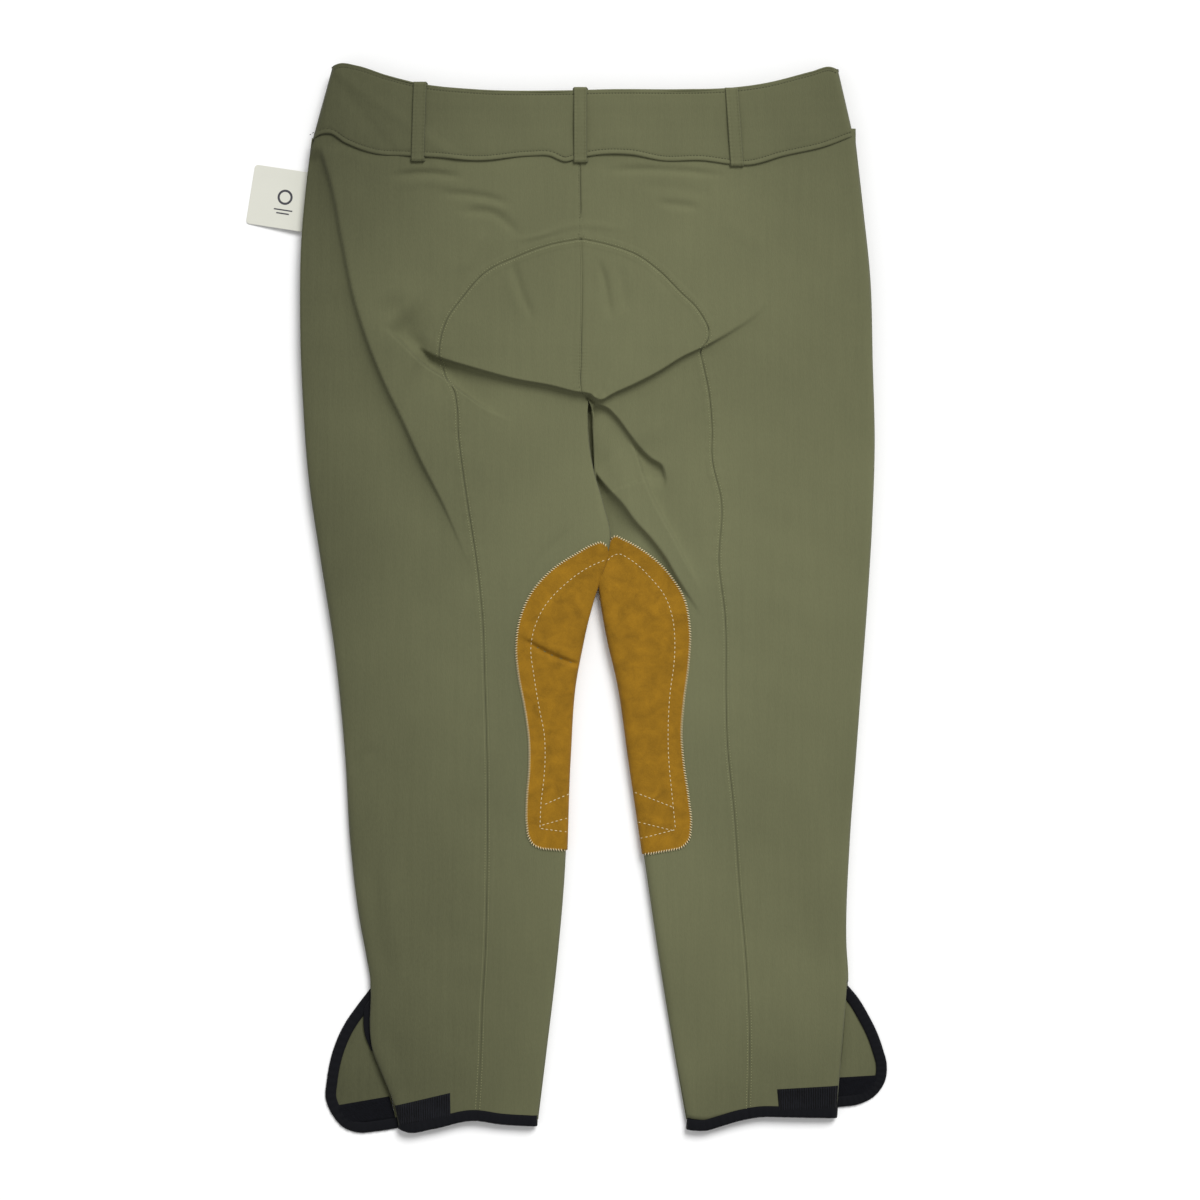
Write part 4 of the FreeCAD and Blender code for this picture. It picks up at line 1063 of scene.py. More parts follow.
def facing(name, low_points, top_points, level, inset):
    """Lining of the waistband, seen inside the waist."""
    low = smooth(low_points, 200)
    top = smooth(top_points, 200) - [0, inset]
    mesh, u, v = grid(120, 20)
    start, end = take(low, u), take(top, u)
    flat = (start + (end - start) * v[:, None]) * [0.985, 1]
    z = level + 0.15 * np.sin(flat[:, 0] * 0.13) * np.sin(flat[:, 1] * 0.2)
    return spread(name, mesh, np.stack([flat[:, 0], flat[:, 1], z], -1))


def elastic_band(name, low_points, top_points, level):
    """Ribbed elastic that runs inside the waistband, clear of its seams."""
    low = smooth(low_points, 200) + [0, 12]
    top = smooth(top_points, 200) - [0, 6]
    mesh, u, v = grid(300, 24)
    flat = (take(low, u) * (1 - v[:, None]) + take(top, u) * v[:, None]) * [0.96, 1]
    z = level + 0.15 * np.sin(u * 900)
    return thicken(spread(name, mesh, np.stack([flat[:, 0], flat[:, 1], z], -1)), ELASTIC_THICKNESS)


class BREECHES_OT_waistband(bpy.types.Operator):
    """Contoured waistband with rolled edges, and the facing inside it"""

    bl_idname = "breeches.waistband"
    bl_label = "Waistband"

    def execute(self, context):
        cloth = size_of("cloth_thickness")
        mesh, points = band(BAND_LOW, BAND_TOP, BAND_SKIN, 1, 300)
        back = thicken(spread("back_waistband_cloth", mesh, points), cloth)
        lay(back, "waistband_twill", "band twill", "back_waistband")
        for word, side in SIDES.items():
            outside = f"front_waistband_{word}"
            low = [(side * max(abs(x), 0.2), y) for x, y in FRONT_LOW if x * side >= 0]
            top = [(side * max(abs(x), 0.2), y) for x, y in FRONT_TOP if x * side >= 0]
            mesh, points = band(low, top, FRONT_SKIN, -1, 150)
            front = thicken(spread(f"{outside}_cloth", mesh, points, flip=True), cloth)
            lay(front, "waistband_twill", "band twill", outside)
            lining = thicken(facing(f"front_facing_{word}_cloth", low, top, 9.9, 1.6), cloth)
            lay(lining, "waistband_twill", "band twill", f"front_facing_{word}")
            core = elastic_band(f"front_waist_elastic_{word}_web", low, top, 8.7)
            lay(core, "elastic", "woven elastic", f"front_waist_elastic_{word}")
        lining = thicken(facing("back_facing_cloth", BAND_LOW, BAND_TOP, 17.4, 1.6), cloth)
        lay(lining, "waistband_twill", "band twill", "back_facing")
        core = elastic_band("back_waist_elastic_web", BAND_LOW, BAND_TOP, 18.7)
        lay(core, "elastic", "woven elastic", "back_waist_elastic")
        return {"FINISHED"}


# ---------------------------------------------------------------- belt loops

LOOP_WIDTH = 11.0


def belt_loop(name, ends, skin, outward):
    """A strip that rises over the belt and folds under the band's edges at both ends."""
    (low_x, low_y), (top_x, top_y) = ends
    span = top_y - low_y
    path = smooth([
        (3.0, -1.6), (0.6, -1.6), (-1.2, -1.0), (-1.6, 0.2), (-0.4, 1.2), (4.0, 1.7), (span * 0.25, 2.7),
        (span * 0.5, 3.2), (span * 0.75, 2.7), (span - 4, 1.8), (span - 0.2, 1.3), (span + 1.0, 0.3),
        (span + 1.1, -1.4), (span + 0.2, -3.0), (span - 2.0, -3.4),
    ], 200)
    mesh, u, v = grid(16, 110)
    along = take(path, v)
    across = (dense_ends(u, 0.6) - 0.5) * LOOP_WIDTH
    edge = LOOP_WIDTH / 2 - np.abs(across)
    roll = 0.3 * np.exp(-(((edge - 0.9) / 0.6) ** 2)) - 0.9 * (1 - rounded(edge, 0.8))
    roll -= 0.28 * np.exp(-(((edge - 2.3) / 0.5) ** 2))
    roll += 0.12 * np.sin(along[:, 0] * 2.0) * np.exp(-((edge / 3.5) ** 2))
    x = low_x + (top_x - low_x) * along[:, 0] / span + across
    y = low_y + along[:, 0]
    z = skin + outward * (along[:, 1] + roll)
    return spread(name, mesh, np.stack([x, y, z], -1), flip=outward < 0)


class BREECHES_OT_belt_loops(bpy.types.Operator):
    """Belt loops, three at the back and two at the front"""

    bl_idname = "breeches.belt_loops"
    bl_label = "Belt loops"

    def execute(self, context):
        for loops, skin, outward in ((BELT_LOOPS, BAND_SKIN, 1), (FRONT_LOOPS, FRONT_SKIN, -1)):
            for name, ends in loops.items():
                loop = thicken(belt_loop(f"{name}_cloth", ends, skin, outward), size_of("loop_thickness"))
                settle(loop, BODY, "waistband_twill", "band twill", (name,))
        return {"FINISHED"}


# ---------------------------------------------------------------- bindings, flaps and tapes


def normals_of(curve):
    way = np.gradient(curve, axis=0)
    way /= np.hypot(way[:, 0], way[:, 1])[:, None]
    return np.stack([-way[:, 1], way[:, 0]], -1)


def edge_strip(name, curve, width, surface, half, turn, rows=240):
    """Tape folded over an edge. Inwards is to the left of the curve, or to the right if turn is -1."""
    mesh, u, v = grid(12, rows)
    at = np.linspace(0, 1, len(curve))
    inward = normals_of(curve) * turn
    place = take(curve, v)
    normal = np.stack([np.interp(v, at, inward[:, i]) for i in range(2)], -1)
    profile = smooth([
        (width, half * 0.8), (width * 0.7, half * 1.1), (width * 0.3, half * 1.1), (0.7, half * 0.9),
        (0.0, 0.0), (0.7, -half * 0.9), (width * 0.3, -half * 1.1), (width * 0.7, -half * 1.1),
        (width, -half * 0.8),
    ], 80)
    cut = take(profile, u)
    ripple = 0.22 * np.sin(v * rows * 0.55) * np.exp(-((cut[:, 0] / width) ** 2))
    flat = place + normal * cut[:, :1]
    base = surface(flat[:, 0], flat[:, 1])
    z = base[:, 2] + cut[:, 1] + ripple * np.sign(cut[:, 1])
    return spread(name, mesh, np.stack([base[:, 0], base[:, 1], np.maximum(z, 0.1)], -1), flip=turn < 0)


def flat_at(level):
    return lambda x, y: np.stack([x, y, np.full(x.shape, float(level))], -1)


def back_hem(word):
    line = smooth(HEM_LINE[word], 200)

    def surface(x, y):
        points = back_point(word, x, np.maximum(y, -600))
        points[:, 2] -= 0.5
        return points

    return edge_strip(f"back_hem_binding_{word}_tape", line, 9.5, surface, 1.1, 1)


def front_hem(word):
    line = smooth(HEM_LINE[word], 200) + [0, 3]
    return edge_strip(f"front_hem_binding_{word}_tape", line, 9.0, flat_at(1.35), 1.0, 1)


FLAP_LEVEL = 1.6
LOOP_TAPE_LEVEL = 1.75
# How far the flap's cloth runs in under its binding.
FLAP_INSET = 2.2


def flap_cloth(word):
    root = smooth(SLIT_ROOT[word][:-1] + [FLAP_FOOT[word]], 200)
    edge = smooth(FLAP_EDGE[word], 200)
    edge = edge - normals_of(edge) * (SIDES[word] * FLAP_INSET)
    mesh, flat, _ = rows_between(root, edge, 36, 110, strength=0.0)
    z = FLAP_LEVEL + 0.22 * np.sin(flat[:, 0] * 0.12) * np.sin(flat[:, 1] * 0.09)
    points = np.stack([flat[:, 0], flat[:, 1], z], -1)
    return spread(f"calf_flap_{word}_cloth", mesh, points, flip=word == "right")


def flap_binding(word):
    edge = smooth([*FLAP_EDGE[word], FLAP_TUCK[word]], 270)
    surface = flat_at(FLAP_LEVEL)
    return edge_strip(f"flap_binding_{word}_tape", edge, 9.3, surface, 1.2, -SIDES[word], rows=320)


def slit_binding():
    """Narrow bound edge that shows beside the left slit."""
    edge = smooth([(-184.5, -476), (-189, -482), (-190.5, -492), (-189.5, -505), (-184, -520)], 80)
    root = smooth([(-180, -476), (-180, -490), (-180, -505), (-180, -520)], 80)
    mesh, flat, v = rows_between(root, edge, 12, 60, strength=0.3)
    rim = np.hypot(*(flat - take(edge, v)).T)
    z = 4.6 - 0.9 * (1 - rounded(rim, 1.4))
    return spread("slit_binding_left_tape", mesh, np.stack([flat[:, 0], flat[:, 1], z], -1))


def tape(name, corners, level, ribbed, flip):
    """Touch tape: a woven border round rows of hooks or a raised field of loops."""
    mesh, u, v = grid(130, 36)
    upper_in, upper_out, lower_out, lower_in = (np.array(c, float) for c in corners)
    top = upper_in + (upper_out - upper_in) * u[:, None]
    low = lower_in + (lower_out - lower_in) * u[:, None]
    flat = low + (top - low) * v[:, None]
    length = np.hypot(*(upper_out - upper_in))
    height = np.hypot(*(upper_in - lower_in))
    border = np.minimum(np.minimum(u, 1 - u) * length, np.minimum(v, 1 - v) * height)
    field = step((border - 1.2) / 0.6)
    if ribbed:
        wobble = 0.35 * np.sin(v * 9 + 2 * np.sin(u * 23))
        pile = 0.45 + 0.4 * np.sin(u * length * 3.2 + wobble) + 0.12 * np.sin(u * 310 + v * 71)
    else:
        pile = 0.55 + 0.16 * np.sin(u * 97 + 3 * np.sin(v * 13))
        pile = pile + 0.14 * np.sin(v * 61 + 2 * np.sin(u * 31))
    base = level(flat[:, 0], flat[:, 1])[:, 2]
    edge_groove = 0.2 * np.exp(-(((border - 1.0) / 0.3) ** 2))
    z = base + 0.75 * rounded(border, 0.8) + 0.6 * field * pile - edge_groove
    return spread(name, mesh, np.stack([flat[:, 0], flat[:, 1], z], -1), flip=flip)


# A point on each flap's fold line and the way the line runs, in metres.
HINGE = {
    "left": (-0.172873, -0.523, -0.157556, 0.98751),
    "right": (0.217727, -0.523, -0.073585, -0.997289),
}


def bend_with_flap(piece, word):
    """Bake the piece's placement into its mesh. The way out from the flap's fold line is worked out but not
    used, so the piece does not turn with the flap.
    """
    x, y, along_x, along_y = HINGE[word]
    away = Vector((-along_y, along_x, 0))
    if away.x * SIDES[word] < 0:
        away = -away
    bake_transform(piece)


class BREECHES_OT_calf_closures(bpy.types.Operator):
    """Open calf flaps with their bindings, the loop tape on them and the hook tape on the leg"""

    bl_idname = "breeches.calf_closures"
    bl_label = "Calf closures"

    def execute(self, context):
        for word in SIDES:
            cloth = thicken(flap_cloth(word), size_of("cloth_thickness"))
            settle(cloth, None, "twill", "olive twill", (f"calf_flap_{word}",))
            edge = thicken(flap_binding(word), size_of("binding_thickness"))
            settle(edge, None, "binding", "edge binding", (f"flap_binding_{word}",))
            for piece in (cloth, edge):
                bend_with_flap(piece, word)
            flip = word == "left"
            loops = tape(f"loop_tape_{word}_pile", LOOP_TAPE[word], flat_at(LOOP_TAPE_LEVEL), False, flip)
            thicken(loops, size_of("tape_thickness"))
            settle(loops, f"calf_flap_{word}", "loop_tape", "touch loops", (f"loop_tape_{word}",))
            hooks = tape(f"hook_tape_{word}_hooks", HOOK_TAPE[word], on_back(word, 0.1), True, flip)
            thicken(hooks, size_of("tape_thickness"))
            settle(hooks, BODY, "hook_tape", "touch hooks", (f"hook_tape_{word}",))
            for piece, node in ((back_hem(word), "back_hem_binding"), (front_hem(word), "front_hem_binding")):
                thicken(piece, size_of("binding_thickness"))
                settle(piece, BODY, "binding", "edge binding", (f"{node}_{word}",))
        settle(thicken(slit_binding(), size_of("binding_thickness")), BODY, "binding", "edge binding")
        return {"FINISHED"}


# ---------------------------------------------------------------- stitching


def resampled(curve, pitch):
    """Points along a curve at an even pitch, and the way the curve runs at each."""
    way = np.hypot(*np.diff(curve, axis=0).T)
    run = np.concatenate([[0], np.cumsum(way)])
    at = np.arange(pitch / 2, run[-1], pitch)
    points = np.stack([np.interp(at, run, curve[:, i]) for i in range(2)], -1)
    ahead = np.stack([np.interp(at + 0.1, run, curve[:, i]) for i in range(2)], -1)
    heading = ahead - points
    return points, heading / np.hypot(heading[:, 0], heading[:, 1])[:, None]


def stitches(name, rows, size, thread, surface, slot_name="twill"):
    """Rows of stitches, each a small rounded bead of thread half sunk in the cloth.

    A row is a curve, how far the stitches stand to its left, their pitch and their slant.
    Size is the length, width and height of one stitch."""
    length, width, height = size
    work = bmesh.new()
    for curve, aside, pitch, slant in rows:
        points, heading = resampled(curve, pitch)
        left = np.stack([-heading[:, 1], heading[:, 0]], -1)
        points = points + left * aside
        ends = []
        for sign in (-1, 1):
            flat = points + heading * (sign * length * 0.4)
            ends.append(surface(flat[:, 0], flat[:, 1]))
        for i in range(len(points)):
            start, end = Vector(ends[0][i]), Vector(ends[1][i])
            middle = (start + end) / 2
            turn = (end - start).to_track_quat("X", "Z").to_matrix().to_4x4()
            turn = turn @ Matrix.Rotation(slant, 4, "Z")
            place = Matrix.Translation(middle * MM) @ turn
            place = place @ Matrix.Diagonal((length * MM, width * MM, height * MM, 1))
            bmesh.ops.create_icosphere(work, subdivisions=1, radius=0.5, matrix=place)
    for face in work.faces:
        face.smooth = True
    mesh = bpy.data.meshes.new(name)
    work.to_mesh(mesh)
    work.free()
    piece = bpy.data.objects.new(name, mesh)
    bpy.context.scene.collection.objects.link(piece)
    return settle(piece, BODY, slot_name, thread)


def on_back(word, lift=0.0):
    return lambda x, y: back_point(word, x, y, lift)


def band_place(lift=0.0):
    low = smooth(BAND_LOW, 300)
    top = smooth(BAND_TOP, 300)

    def surface(x, y):
        z = band_surface(x, y, low, top, BAND_SKIN, 1) + lift
        return np.stack([x, y, z], -1)

    return surface


class BREECHES_OT_stitching(bpy.types.Operator):
    """Seam stitches on the legs, topstitching on the waistband and cream stitches on the patches"""

    bl_idname = "breeches.stitching"
    bl_label = "Stitching"

    def execute(self, context):
        for word in SIDES:
            seam = leg_seam_curve(word)
            seam = seam[seam[:, 1] > -572]
            pitch = size_of("seam_stitch_pitch")
            stitches(f"leg_seam_stitches_{word}", [(seam, 1.8, pitch, 0.0), (seam, -1.8, pitch, 0.0)],
                     (1.0, 0.75, 0.6), "seam thread", on_back(word, 0.1))
            outline = np.vstack([[PATCH_FOOT[word]], patch_outline(word)])
            stitches(f"patch_edge_stitches_{word}", [(outline, SIDES[word] * -0.2, 2.2, SIDES[word] * 1.1)],
                     (3.0, 1.05, 0.9), "patch thread", on_patch(word, 0.1), "suede")
            rows = [(smooth(PATCH_LINE[word], 200), 0.0, size_of("patch_stitch_pitch"), 0.0)]
            for bar in PATCH_BARS[word]:
                rows.append((np.array(bar, float), 0.0, size_of("patch_stitch_pitch"), 0.0))
            stitches(f"patch_line_stitches_{word}", rows, (2.8, 0.8, 0.7), "patch thread",
                     on_patch(word, 0.12), "suede")
        rows = [(smooth(BAND_LOW, 400), 4.4, 2.6, 0.0), (smooth(BAND_TOP, 400), -3.6, 2.6, 0.0)]
        stitches("waistband_stitches", rows, (1.8, 0.75, 0.55), "dark thread", band_place(0.1),
                 "waistband_twill")
        rows = [(smooth(CENTRE_SEAM[1:], 200), 1.3, 2.4, 0.0)]
        stitches("centre_seam_stitches", rows, (1.4, 0.35, 0.3), "dark thread", on_back("left", 0.05))
        return {"FINISHED"}


# ---------------------------------------------------------------- fly and waist fastening


def bevel_edges(work, edges, offset, segments):
    bmesh.ops.bevel(work, geom=edges, offset=offset, segments=segments, affect="EDGES",
                    profile=0.5, material=-1)


def block(work, low, high, bevel, segments=2):
    """A block between two corners, in millimetres, with rounded edges."""
    low, high = Vector(low) * MM, Vector(high) * MM
    scale = Matrix.Diagonal((*(high - low), 1))
    made = bmesh.ops.create_cube(work, size=1.0, matrix=Matrix.Translation((low + high) / 2) @ scale)
    # Each edge once, in a fixed order, so that every run gives the same faces.
    edges = list(dict.fromkeys(edge for vert in made["verts"] for edge in vert.link_edges))
    bevel_edges(work, edges, bevel * MM, segments)


def rod(work, centre, radius, length):
    """A round rod that runs along X."""
    place = Matrix.Translation(Vector(centre) * MM) @ Matrix.Rotation(math.pi / 2, 4, "Y")
    bmesh.ops.create_cone(work, cap_ends=True, segments=20, radius1=radius * MM,
                          radius2=radius * MM, depth=length * MM, matrix=place)


def from_work(name, work):
    bmesh.ops.recalc_face_normals(work, faces=work.faces)
    mesh = bpy.data.meshes.new(name)
    work.to_mesh(mesh)
    work.free()
    piece = bpy.data.objects.new(name, mesh)
    bpy.context.scene.collection.objects.link(piece)
    return piece


def corners_of(node):
    low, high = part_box(node)
    return tuple(c / MM for c in low), tuple(c / MM for c in high)


def zip_coil(word):
    low, high = corners_of(f"zip_coil_{word}")
    work = bmesh.new()
    pitch = 1.5
    count = int((high[1] - low[1]) / pitch)
    for i in range(count):
        y = low[1] + (i + 0.5 + 0.25 * SIDES[word]) * pitch
        centre = Vector(((low[0] + high[0]) / 2, y, (low[2] + high[2]) / 2)) * MM
        size = Matrix.Diagonal(((high[0] - low[0]) * 1.1 * MM, 1.1 * MM, (high[2] - low[2]) * MM, 1))
        place = Matrix.Translation(centre) @ size
        bmesh.ops.create_icosphere(work, subdivisions=1, radius=0.5, matrix=place)
    for face in work.faces:
        face.smooth = True
    return from_work(f"zip_coil_{word}_teeth", work)


def zip_slider():
    low, high = corners_of("zip_slider")
    work = bmesh.new()
    face_z = high[2]
    block(work, (-4, low[1], face_z - 0.8), (4, high[1], face_z), 0.35)
    block(work, (-4, low[1], 6.9), (4, high[1], 7.7), 0.35)
    block(work, (-0.5, high[1] - 2.5, 6.9), (0.5, high[1], face_z), 0.2)
    for side in (-1, 1):
        x = side * 1.85
        block(work, (x - 0.35, 203.2, 4.8), (x + 0.35, 205.4, 7.2), 0.2)
    rod(work, (0, 204.3, 5.9), 0.4, 4.2)
    return from_work("zip_slider_metal", work)


def zip_pull():
    work = bmesh.new()
    block(work, (-1.35, 201.6, 5.45), (1.35, 203.6, 6.35), 0.3)
    block(work, (-2.6, 182.4, 5.5), (2.6, 202.1, 6.3), 0.36, 3)
    block(work, (-1.5, 184.4, 5.35), (1.5, 196.0, 6.45), 0.4, 2)
    for side in (-1, 1):
        rod(work, (side * 0.9, 204.3, 5.9), 1.05, 0.7)
    block(work, (-1.25, 203.0, 5.5), (-0.55, 204.6, 6.3), 0.2)
    block(work, (0.55, 203.0, 5.5), (1.25, 204.6, 6.3), 0.2)
    return from_work("zip_pull_metal", work)


SHIELD_THICKNESS = 1.1


def soft_rectangle(name, low, high, level, crown):
    """A flat piece of cloth with rounded edges."""
    mesh, u, v = grid(40, 80)
    x = low[0] + (high[0] - low[0]) * u
    y = low[1] + (high[1] - low[1]) * v
    edge = np.minimum(np.minimum(x - low[0], high[0] - x), np.minimum(y - low[1], high[1] - y))
    z = level - crown * (1 - rounded(edge, 2.5)) - 0.3 * np.exp(-(((edge - 4) / 0.6) ** 2))
    return spread(name, mesh, np.stack([x, y, z], -1))


class BREECHES_OT_fly(bpy.types.Operator):
    """Zip with its slider and pull, the shield behind it and the hooked underlap"""

    bl_idname = "breeches.fly"
    bl_label = "Fly"

    def execute(self, context):
        for word in SIDES:
            settle(zip_coil(word), BODY, "zip_coil", "zip coil", (f"zip_coil_{word}",))
            low, high = corners_of(f"zip_tape_{word}")
            woven = soft_rectangle(f"zip_tape_{word}_woven", low, high, high[2], 0.25)
            thicken(woven, high[2] - low[2])
            settle(woven, BODY, "zip_tape", "zip tape", (f"zip_tape_{word}",))
        settle(zip_slider(), "zip_slider", "zip_metal", "satin metal", ("zip_slider",))
        settle(zip_pull(), "zip_pull", "zip_metal", "satin metal", ("zip_pull",))
        for node, slot_name, level in (
            ("fly_shield", "twill", 12.4),
            ("waist_underlap", "waistband_twill", 12.7),
        ):
            low, high = corners_of(node)
            sheet = thicken(soft_rectangle(f"{node}_cloth", low, high, level, 0.6), SHIELD_THICKNESS)
            lay(sheet, slot_name, "olive twill", node)
        return {"FINISHED"}


CARRIED_NODES = ("zip_stops", "waist_hooks", "waist_bars")


class BREECHES_OT_carried_parts(bpy.types.Operator):
    """Metal finish for the small parts that keep their own shape"""

    bl_idname = "breeches.carried_parts"
    bl_label = "Carried parts"

    def execute(self, context):
        for node in CARRIED_NODES:
            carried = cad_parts[node]
            carried.data.materials.clear()
            carried.data.materials.append(bpy.data.materials["satin metal"])
        return {"FINISHED"}


# ---------------------------------------------------------------- card


CARD_TURN = math.radians(-9.1)
CARD_LEAN = math.radians(4.4)
CARD_SIZE = (89.0, 50.8, 0.5)
HOLE_IN = 8.0
# The ring and the bars lie just above the card's upper face, this far along it.
PRINT_ALONG = -51.0
PRINT_LEVEL = 0.31
PRINT_THICKNESS = 0.06


def lay_at_hip(work):
    """Lean, turn and move what was made round the string's place to where the card lies."""
    bmesh.ops.transform(work, matrix=Matrix.Rotation(-CARD_LEAN, 4, "Y"), verts=work.verts)
    bmesh.ops.transform(work, matrix=Matrix.Rotation(CARD_TURN, 4, "Z"), verts=work.verts)
    bmesh.ops.translate(work, vec=CARD_HOLE, verts=work.verts)
    bmesh.ops.scale(work, vec=(MM, MM, MM), verts=work.verts)


def card_stock():
    work = bmesh.new()
    bmesh.ops.create_cube(work, size=1.0)
    bmesh.ops.scale(work, vec=CARD_SIZE, verts=work.verts)
    bmesh.ops.translate(work, vec=(-(CARD_SIZE[0] / 2 - HOLE_IN), 0, 0), verts=work.verts)
    upright = [edge for edge in work.edges if abs(edge.verts[0].co.z - edge.verts[1].co.z) > 0.1]
    bevel_edges(work, upright, 3.0, 8)
    rim = [edge for edge in work.edges if len(edge.link_faces) == 2 and edge.calc_face_angle(0) > 1.2]
    bevel_edges(work, rim, 0.12, 2)
    lay_at_hip(work)
    return from_work("hang_tag_card", work)


def card_print():
    """A ring over two bars."""
    work = bmesh.new()
    for radius in (6.5, 4.6):
        ring = bmesh.ops.create_circle(work, segments=40, radius=radius)
        bmesh.ops.translate(work, vec=(PRINT_ALONG, 1.5, PRINT_LEVEL), verts=ring["verts"])
    bmesh.ops.bridge_loops(work, edges=work.edges)
    for across, half in ((-9.5, 8.0), (-12.5, 5.5)):
        bar = bmesh.ops.create_grid(work, x_segments=1, y_segments=1, size=1)
        bmesh.ops.scale(work, vec=(half, 0.55, 1), verts=bar["verts"])
        bmesh.ops.translate(work, vec=(PRINT_ALONG, across, PRINT_LEVEL), verts=bar["verts"])
    lay_at_hip(work)
    return from_work("hang_tag_mark", work)


class BREECHES_OT_card(bpy.types.Operator):
    """Swing card with a plain ring-and-bars device"""

    bl_idname = "breeches.card"
    bl_label = "Card"

    def execute(self, context):
        settle(card_stock(), "hang_tag", "card", "card stock", ("hang_tag",))
        settle(thicken(card_print(), PRINT_THICKNESS), "hang_tag", "card", "printed ink")
        return {"FINISHED"}


# ---------------------------------------------------------------- stage


CAMERA_HEIGHT = 3.0
VIEW_CENTRE = (0.011, -0.136)


class BREECHES_OT_stage(bpy.types.Operator):
    """Pale floor, soft studio light and the camera straight above"""

    bl_idname = "breeches.stage"
    bl_label = "Stage"

    def execute(self, context):
        studio = context.scene.breeches
        mesh = bpy.data.meshes.new("floor")
        work = bmesh.new()
        bmesh.ops.create_grid(work, x_segments=1, y_segments=1, size=4.0)
        work.to_mesh(mesh)
        work.free()
        floor = bpy.data.objects.new("floor", mesh)
        floor.location.z = CAD_BOX[0][2] - 0.0002
        context.scene.collection.objects.link(floor)
        floor.data.materials.append(plain("pale floor", studio.floor, 0.9))
        world = bpy.data.worlds.new("studio")
        world.use_nodes = True
        background = world.node_tree.nodes["Background"]
        background.inputs["Color"].default_value = (1, 1, 1, 1)
        background.inputs["Strength"].default_value = studio.ambient
        context.scene.world = world
        for label, direction, softness, strength in (
            ("key", (0.45, 0.95, 1.15), 0.5, studio.key),
            ("fill", (-1.0, -0.4, 1.6), 1.2, studio.fill),
        ):
            lamp = bpy.data.lights.new(label, "SUN")
            lamp.angle = softness
            lamp.energy = strength
            holder = bpy.data.objects.new(label, lamp)
            holder.rotation_euler = Vector(direction).to_track_quat("Z", "Y").to_euler()
            context.scene.collection.objects.link(holder)
        camera = bpy.data.cameras.new("camera")
        camera.sensor_width = 36
        camera.lens = camera.sensor_width * CAMERA_HEIGHT / studio.view_width
        holder = bpy.data.objects.new("camera", camera)
        holder.location = (*VIEW_CENTRE, CAMERA_HEIGHT + 0.01)
        context.scene.collection.objects.link(holder)
        context.scene.camera = holder
        context.scene.view_settings.view_transform = "Standard"
        return {"FINISHED"}


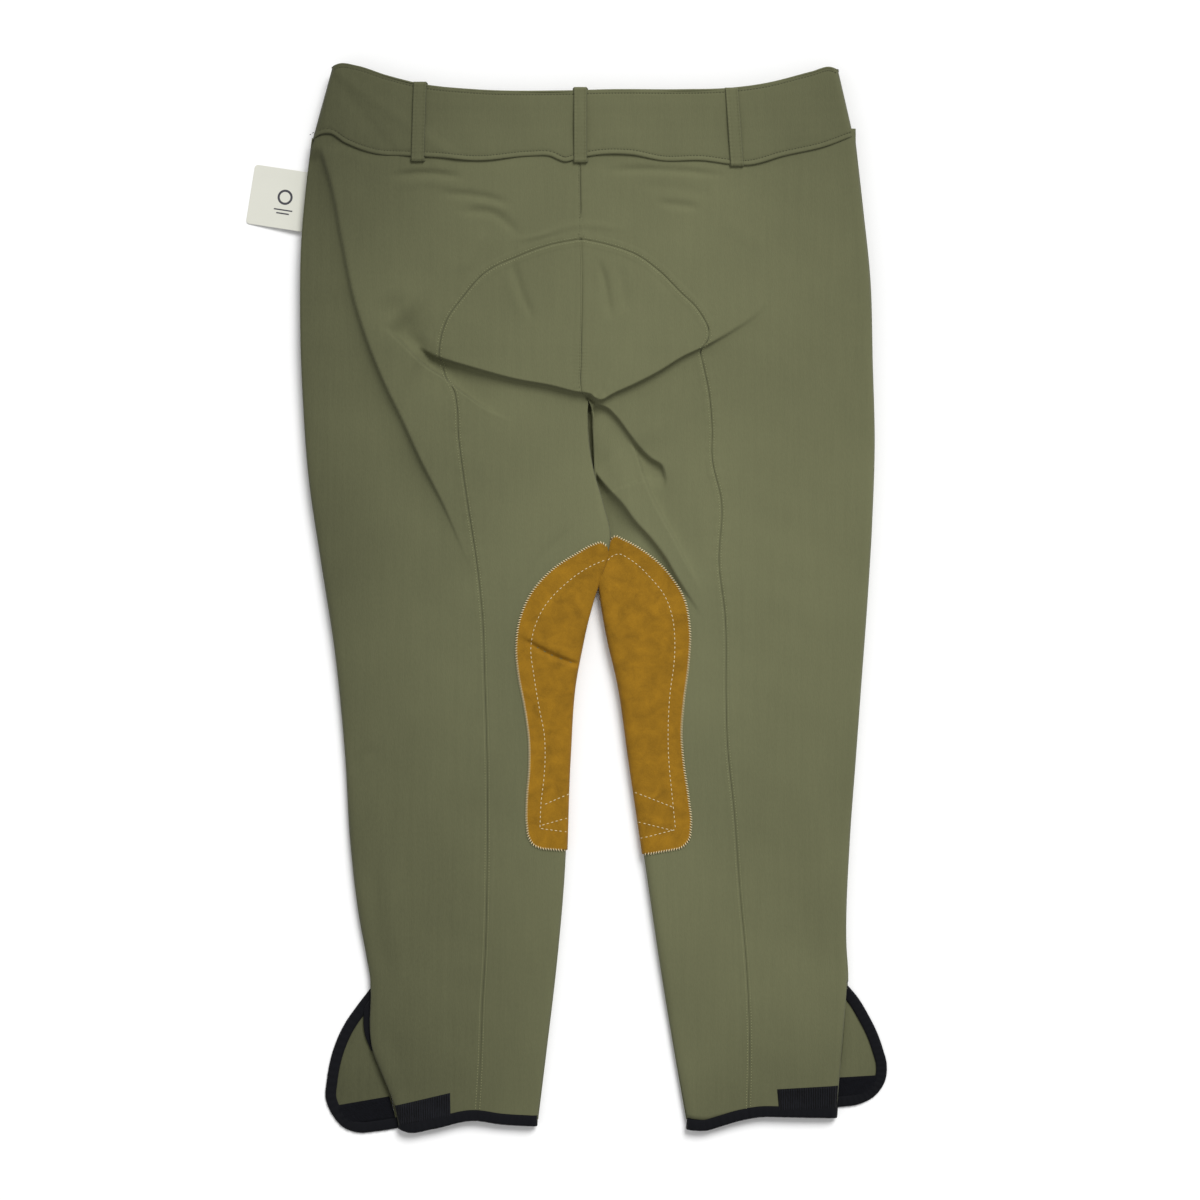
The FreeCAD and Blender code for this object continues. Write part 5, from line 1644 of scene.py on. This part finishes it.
class BreechesFinish(bpy.types.PropertyGroup):
    """Sizes, colours and light of the breeches"""

    twill: FloatVectorProperty(
        name="Twill", description="Colour of the olive cloth", subtype="COLOR",
        default=(0.147, 0.151, 0.078), min=0, max=1)
    suede: FloatVectorProperty(
        name="Suede", description="Colour of the knee patches", subtype="COLOR",
        default=(0.262, 0.132, 0.0085), min=0, max=1)
    trim: FloatVectorProperty(
        name="Trim", description="Colour of bindings and touch tape", subtype="COLOR",
        default=(0.0035, 0.0038, 0.0055), min=0, max=1)
    thread: FloatVectorProperty(
        name="Patch thread", description="Colour of the thread on the patches", subtype="COLOR",
        default=(0.72, 0.60, 0.36), min=0, max=1)
    card: FloatVectorProperty(
        name="Card", description="Colour of the swing card", subtype="COLOR",
        default=(0.66, 0.66, 0.585), min=0, max=1)
    floor: FloatVectorProperty(
        name="Floor", description="Colour of the floor", subtype="COLOR",
        default=(0.95, 0.95, 0.95), min=0, max=1)
    cloth_thickness: FloatProperty(
        name="Cloth thickness", description="Thickness of the twill", default=0.001, min=0.0002,
        subtype="DISTANCE", unit="LENGTH")
    patch_thickness: FloatProperty(
        name="Patch thickness", description="Thickness of the suede", default=0.00105, min=0.0002,
        subtype="DISTANCE", unit="LENGTH")
    binding_thickness: FloatProperty(
        name="Binding thickness", description="Thickness of the bound edges", default=0.0008, min=0.0002,
        subtype="DISTANCE", unit="LENGTH")
    tape_thickness: FloatProperty(
        name="Tape thickness", description="Thickness of the touch tape's backing", default=0.0006,
        min=0.0002, subtype="DISTANCE", unit="LENGTH")
    loop_thickness: FloatProperty(
        name="Loop thickness", description="Thickness of a belt loop's cloth", default=0.0011, min=0.0002,
        subtype="DISTANCE", unit="LENGTH")
    patch_stitch_pitch: FloatProperty(
        name="Patch stitch pitch", description="Distance between stitches on the patches", default=0.0039,
        min=0.001, subtype="DISTANCE", unit="LENGTH")
    seam_stitch_pitch: FloatProperty(
        name="Seam stitch pitch", description="Distance between stitches along the leg seams", default=0.0024,
        min=0.001, subtype="DISTANCE", unit="LENGTH")
    ambient: FloatProperty(name="Ambient", description="Strength of the even light", default=0.42, min=0)
    key: FloatProperty(name="Key", description="Strength of the main light", default=2.7, min=0)
    fill: FloatProperty(name="Fill", description="Strength of the second light", default=0.25, min=0)
    view_width: FloatProperty(
        name="View width", description="Width of floor in view", default=1.02, min=0.1,
        subtype="DISTANCE", unit="LENGTH")


OPERATORS = (
    BREECHES_OT_stage,
    BREECHES_OT_back_panels,
    BREECHES_OT_front_panels,
    BREECHES_OT_edge_seams,
    BREECHES_OT_knee_patches,
    BREECHES_OT_waistband,
    BREECHES_OT_belt_loops,
    BREECHES_OT_calf_closures,
    BREECHES_OT_stitching,
    BREECHES_OT_fly,
    BREECHES_OT_card,
    BREECHES_OT_carried_parts,
)


class BREECHES_PT_panel(bpy.types.Panel):
    """Lists the pieces of the breeches"""

    bl_label = "Breeches"
    bl_space_type = "VIEW_3D"
    bl_region_type = "UI"
    bl_category = "Breeches"

    def draw(self, context):
        for operator in OPERATORS:
            self.layout.operator(operator.bl_idname)


CLASSES = (BreechesFinish, *OPERATORS, BREECHES_PT_panel)


def register():
    for item in CLASSES:
        bpy.utils.register_class(item)
    bpy.types.Scene.breeches = PointerProperty(type=BreechesFinish)


def unregister():
    del bpy.types.Scene.breeches
    for item in reversed(CLASSES):
        bpy.utils.unregister_class(item)


def main():
    register()
    make_materials(bpy.context.scene.breeches)
    for operator in OPERATORS:
        group, name = operator.bl_idname.split(".")
        getattr(getattr(bpy.ops, group), name)()


if __name__ == "__main__":
    main()
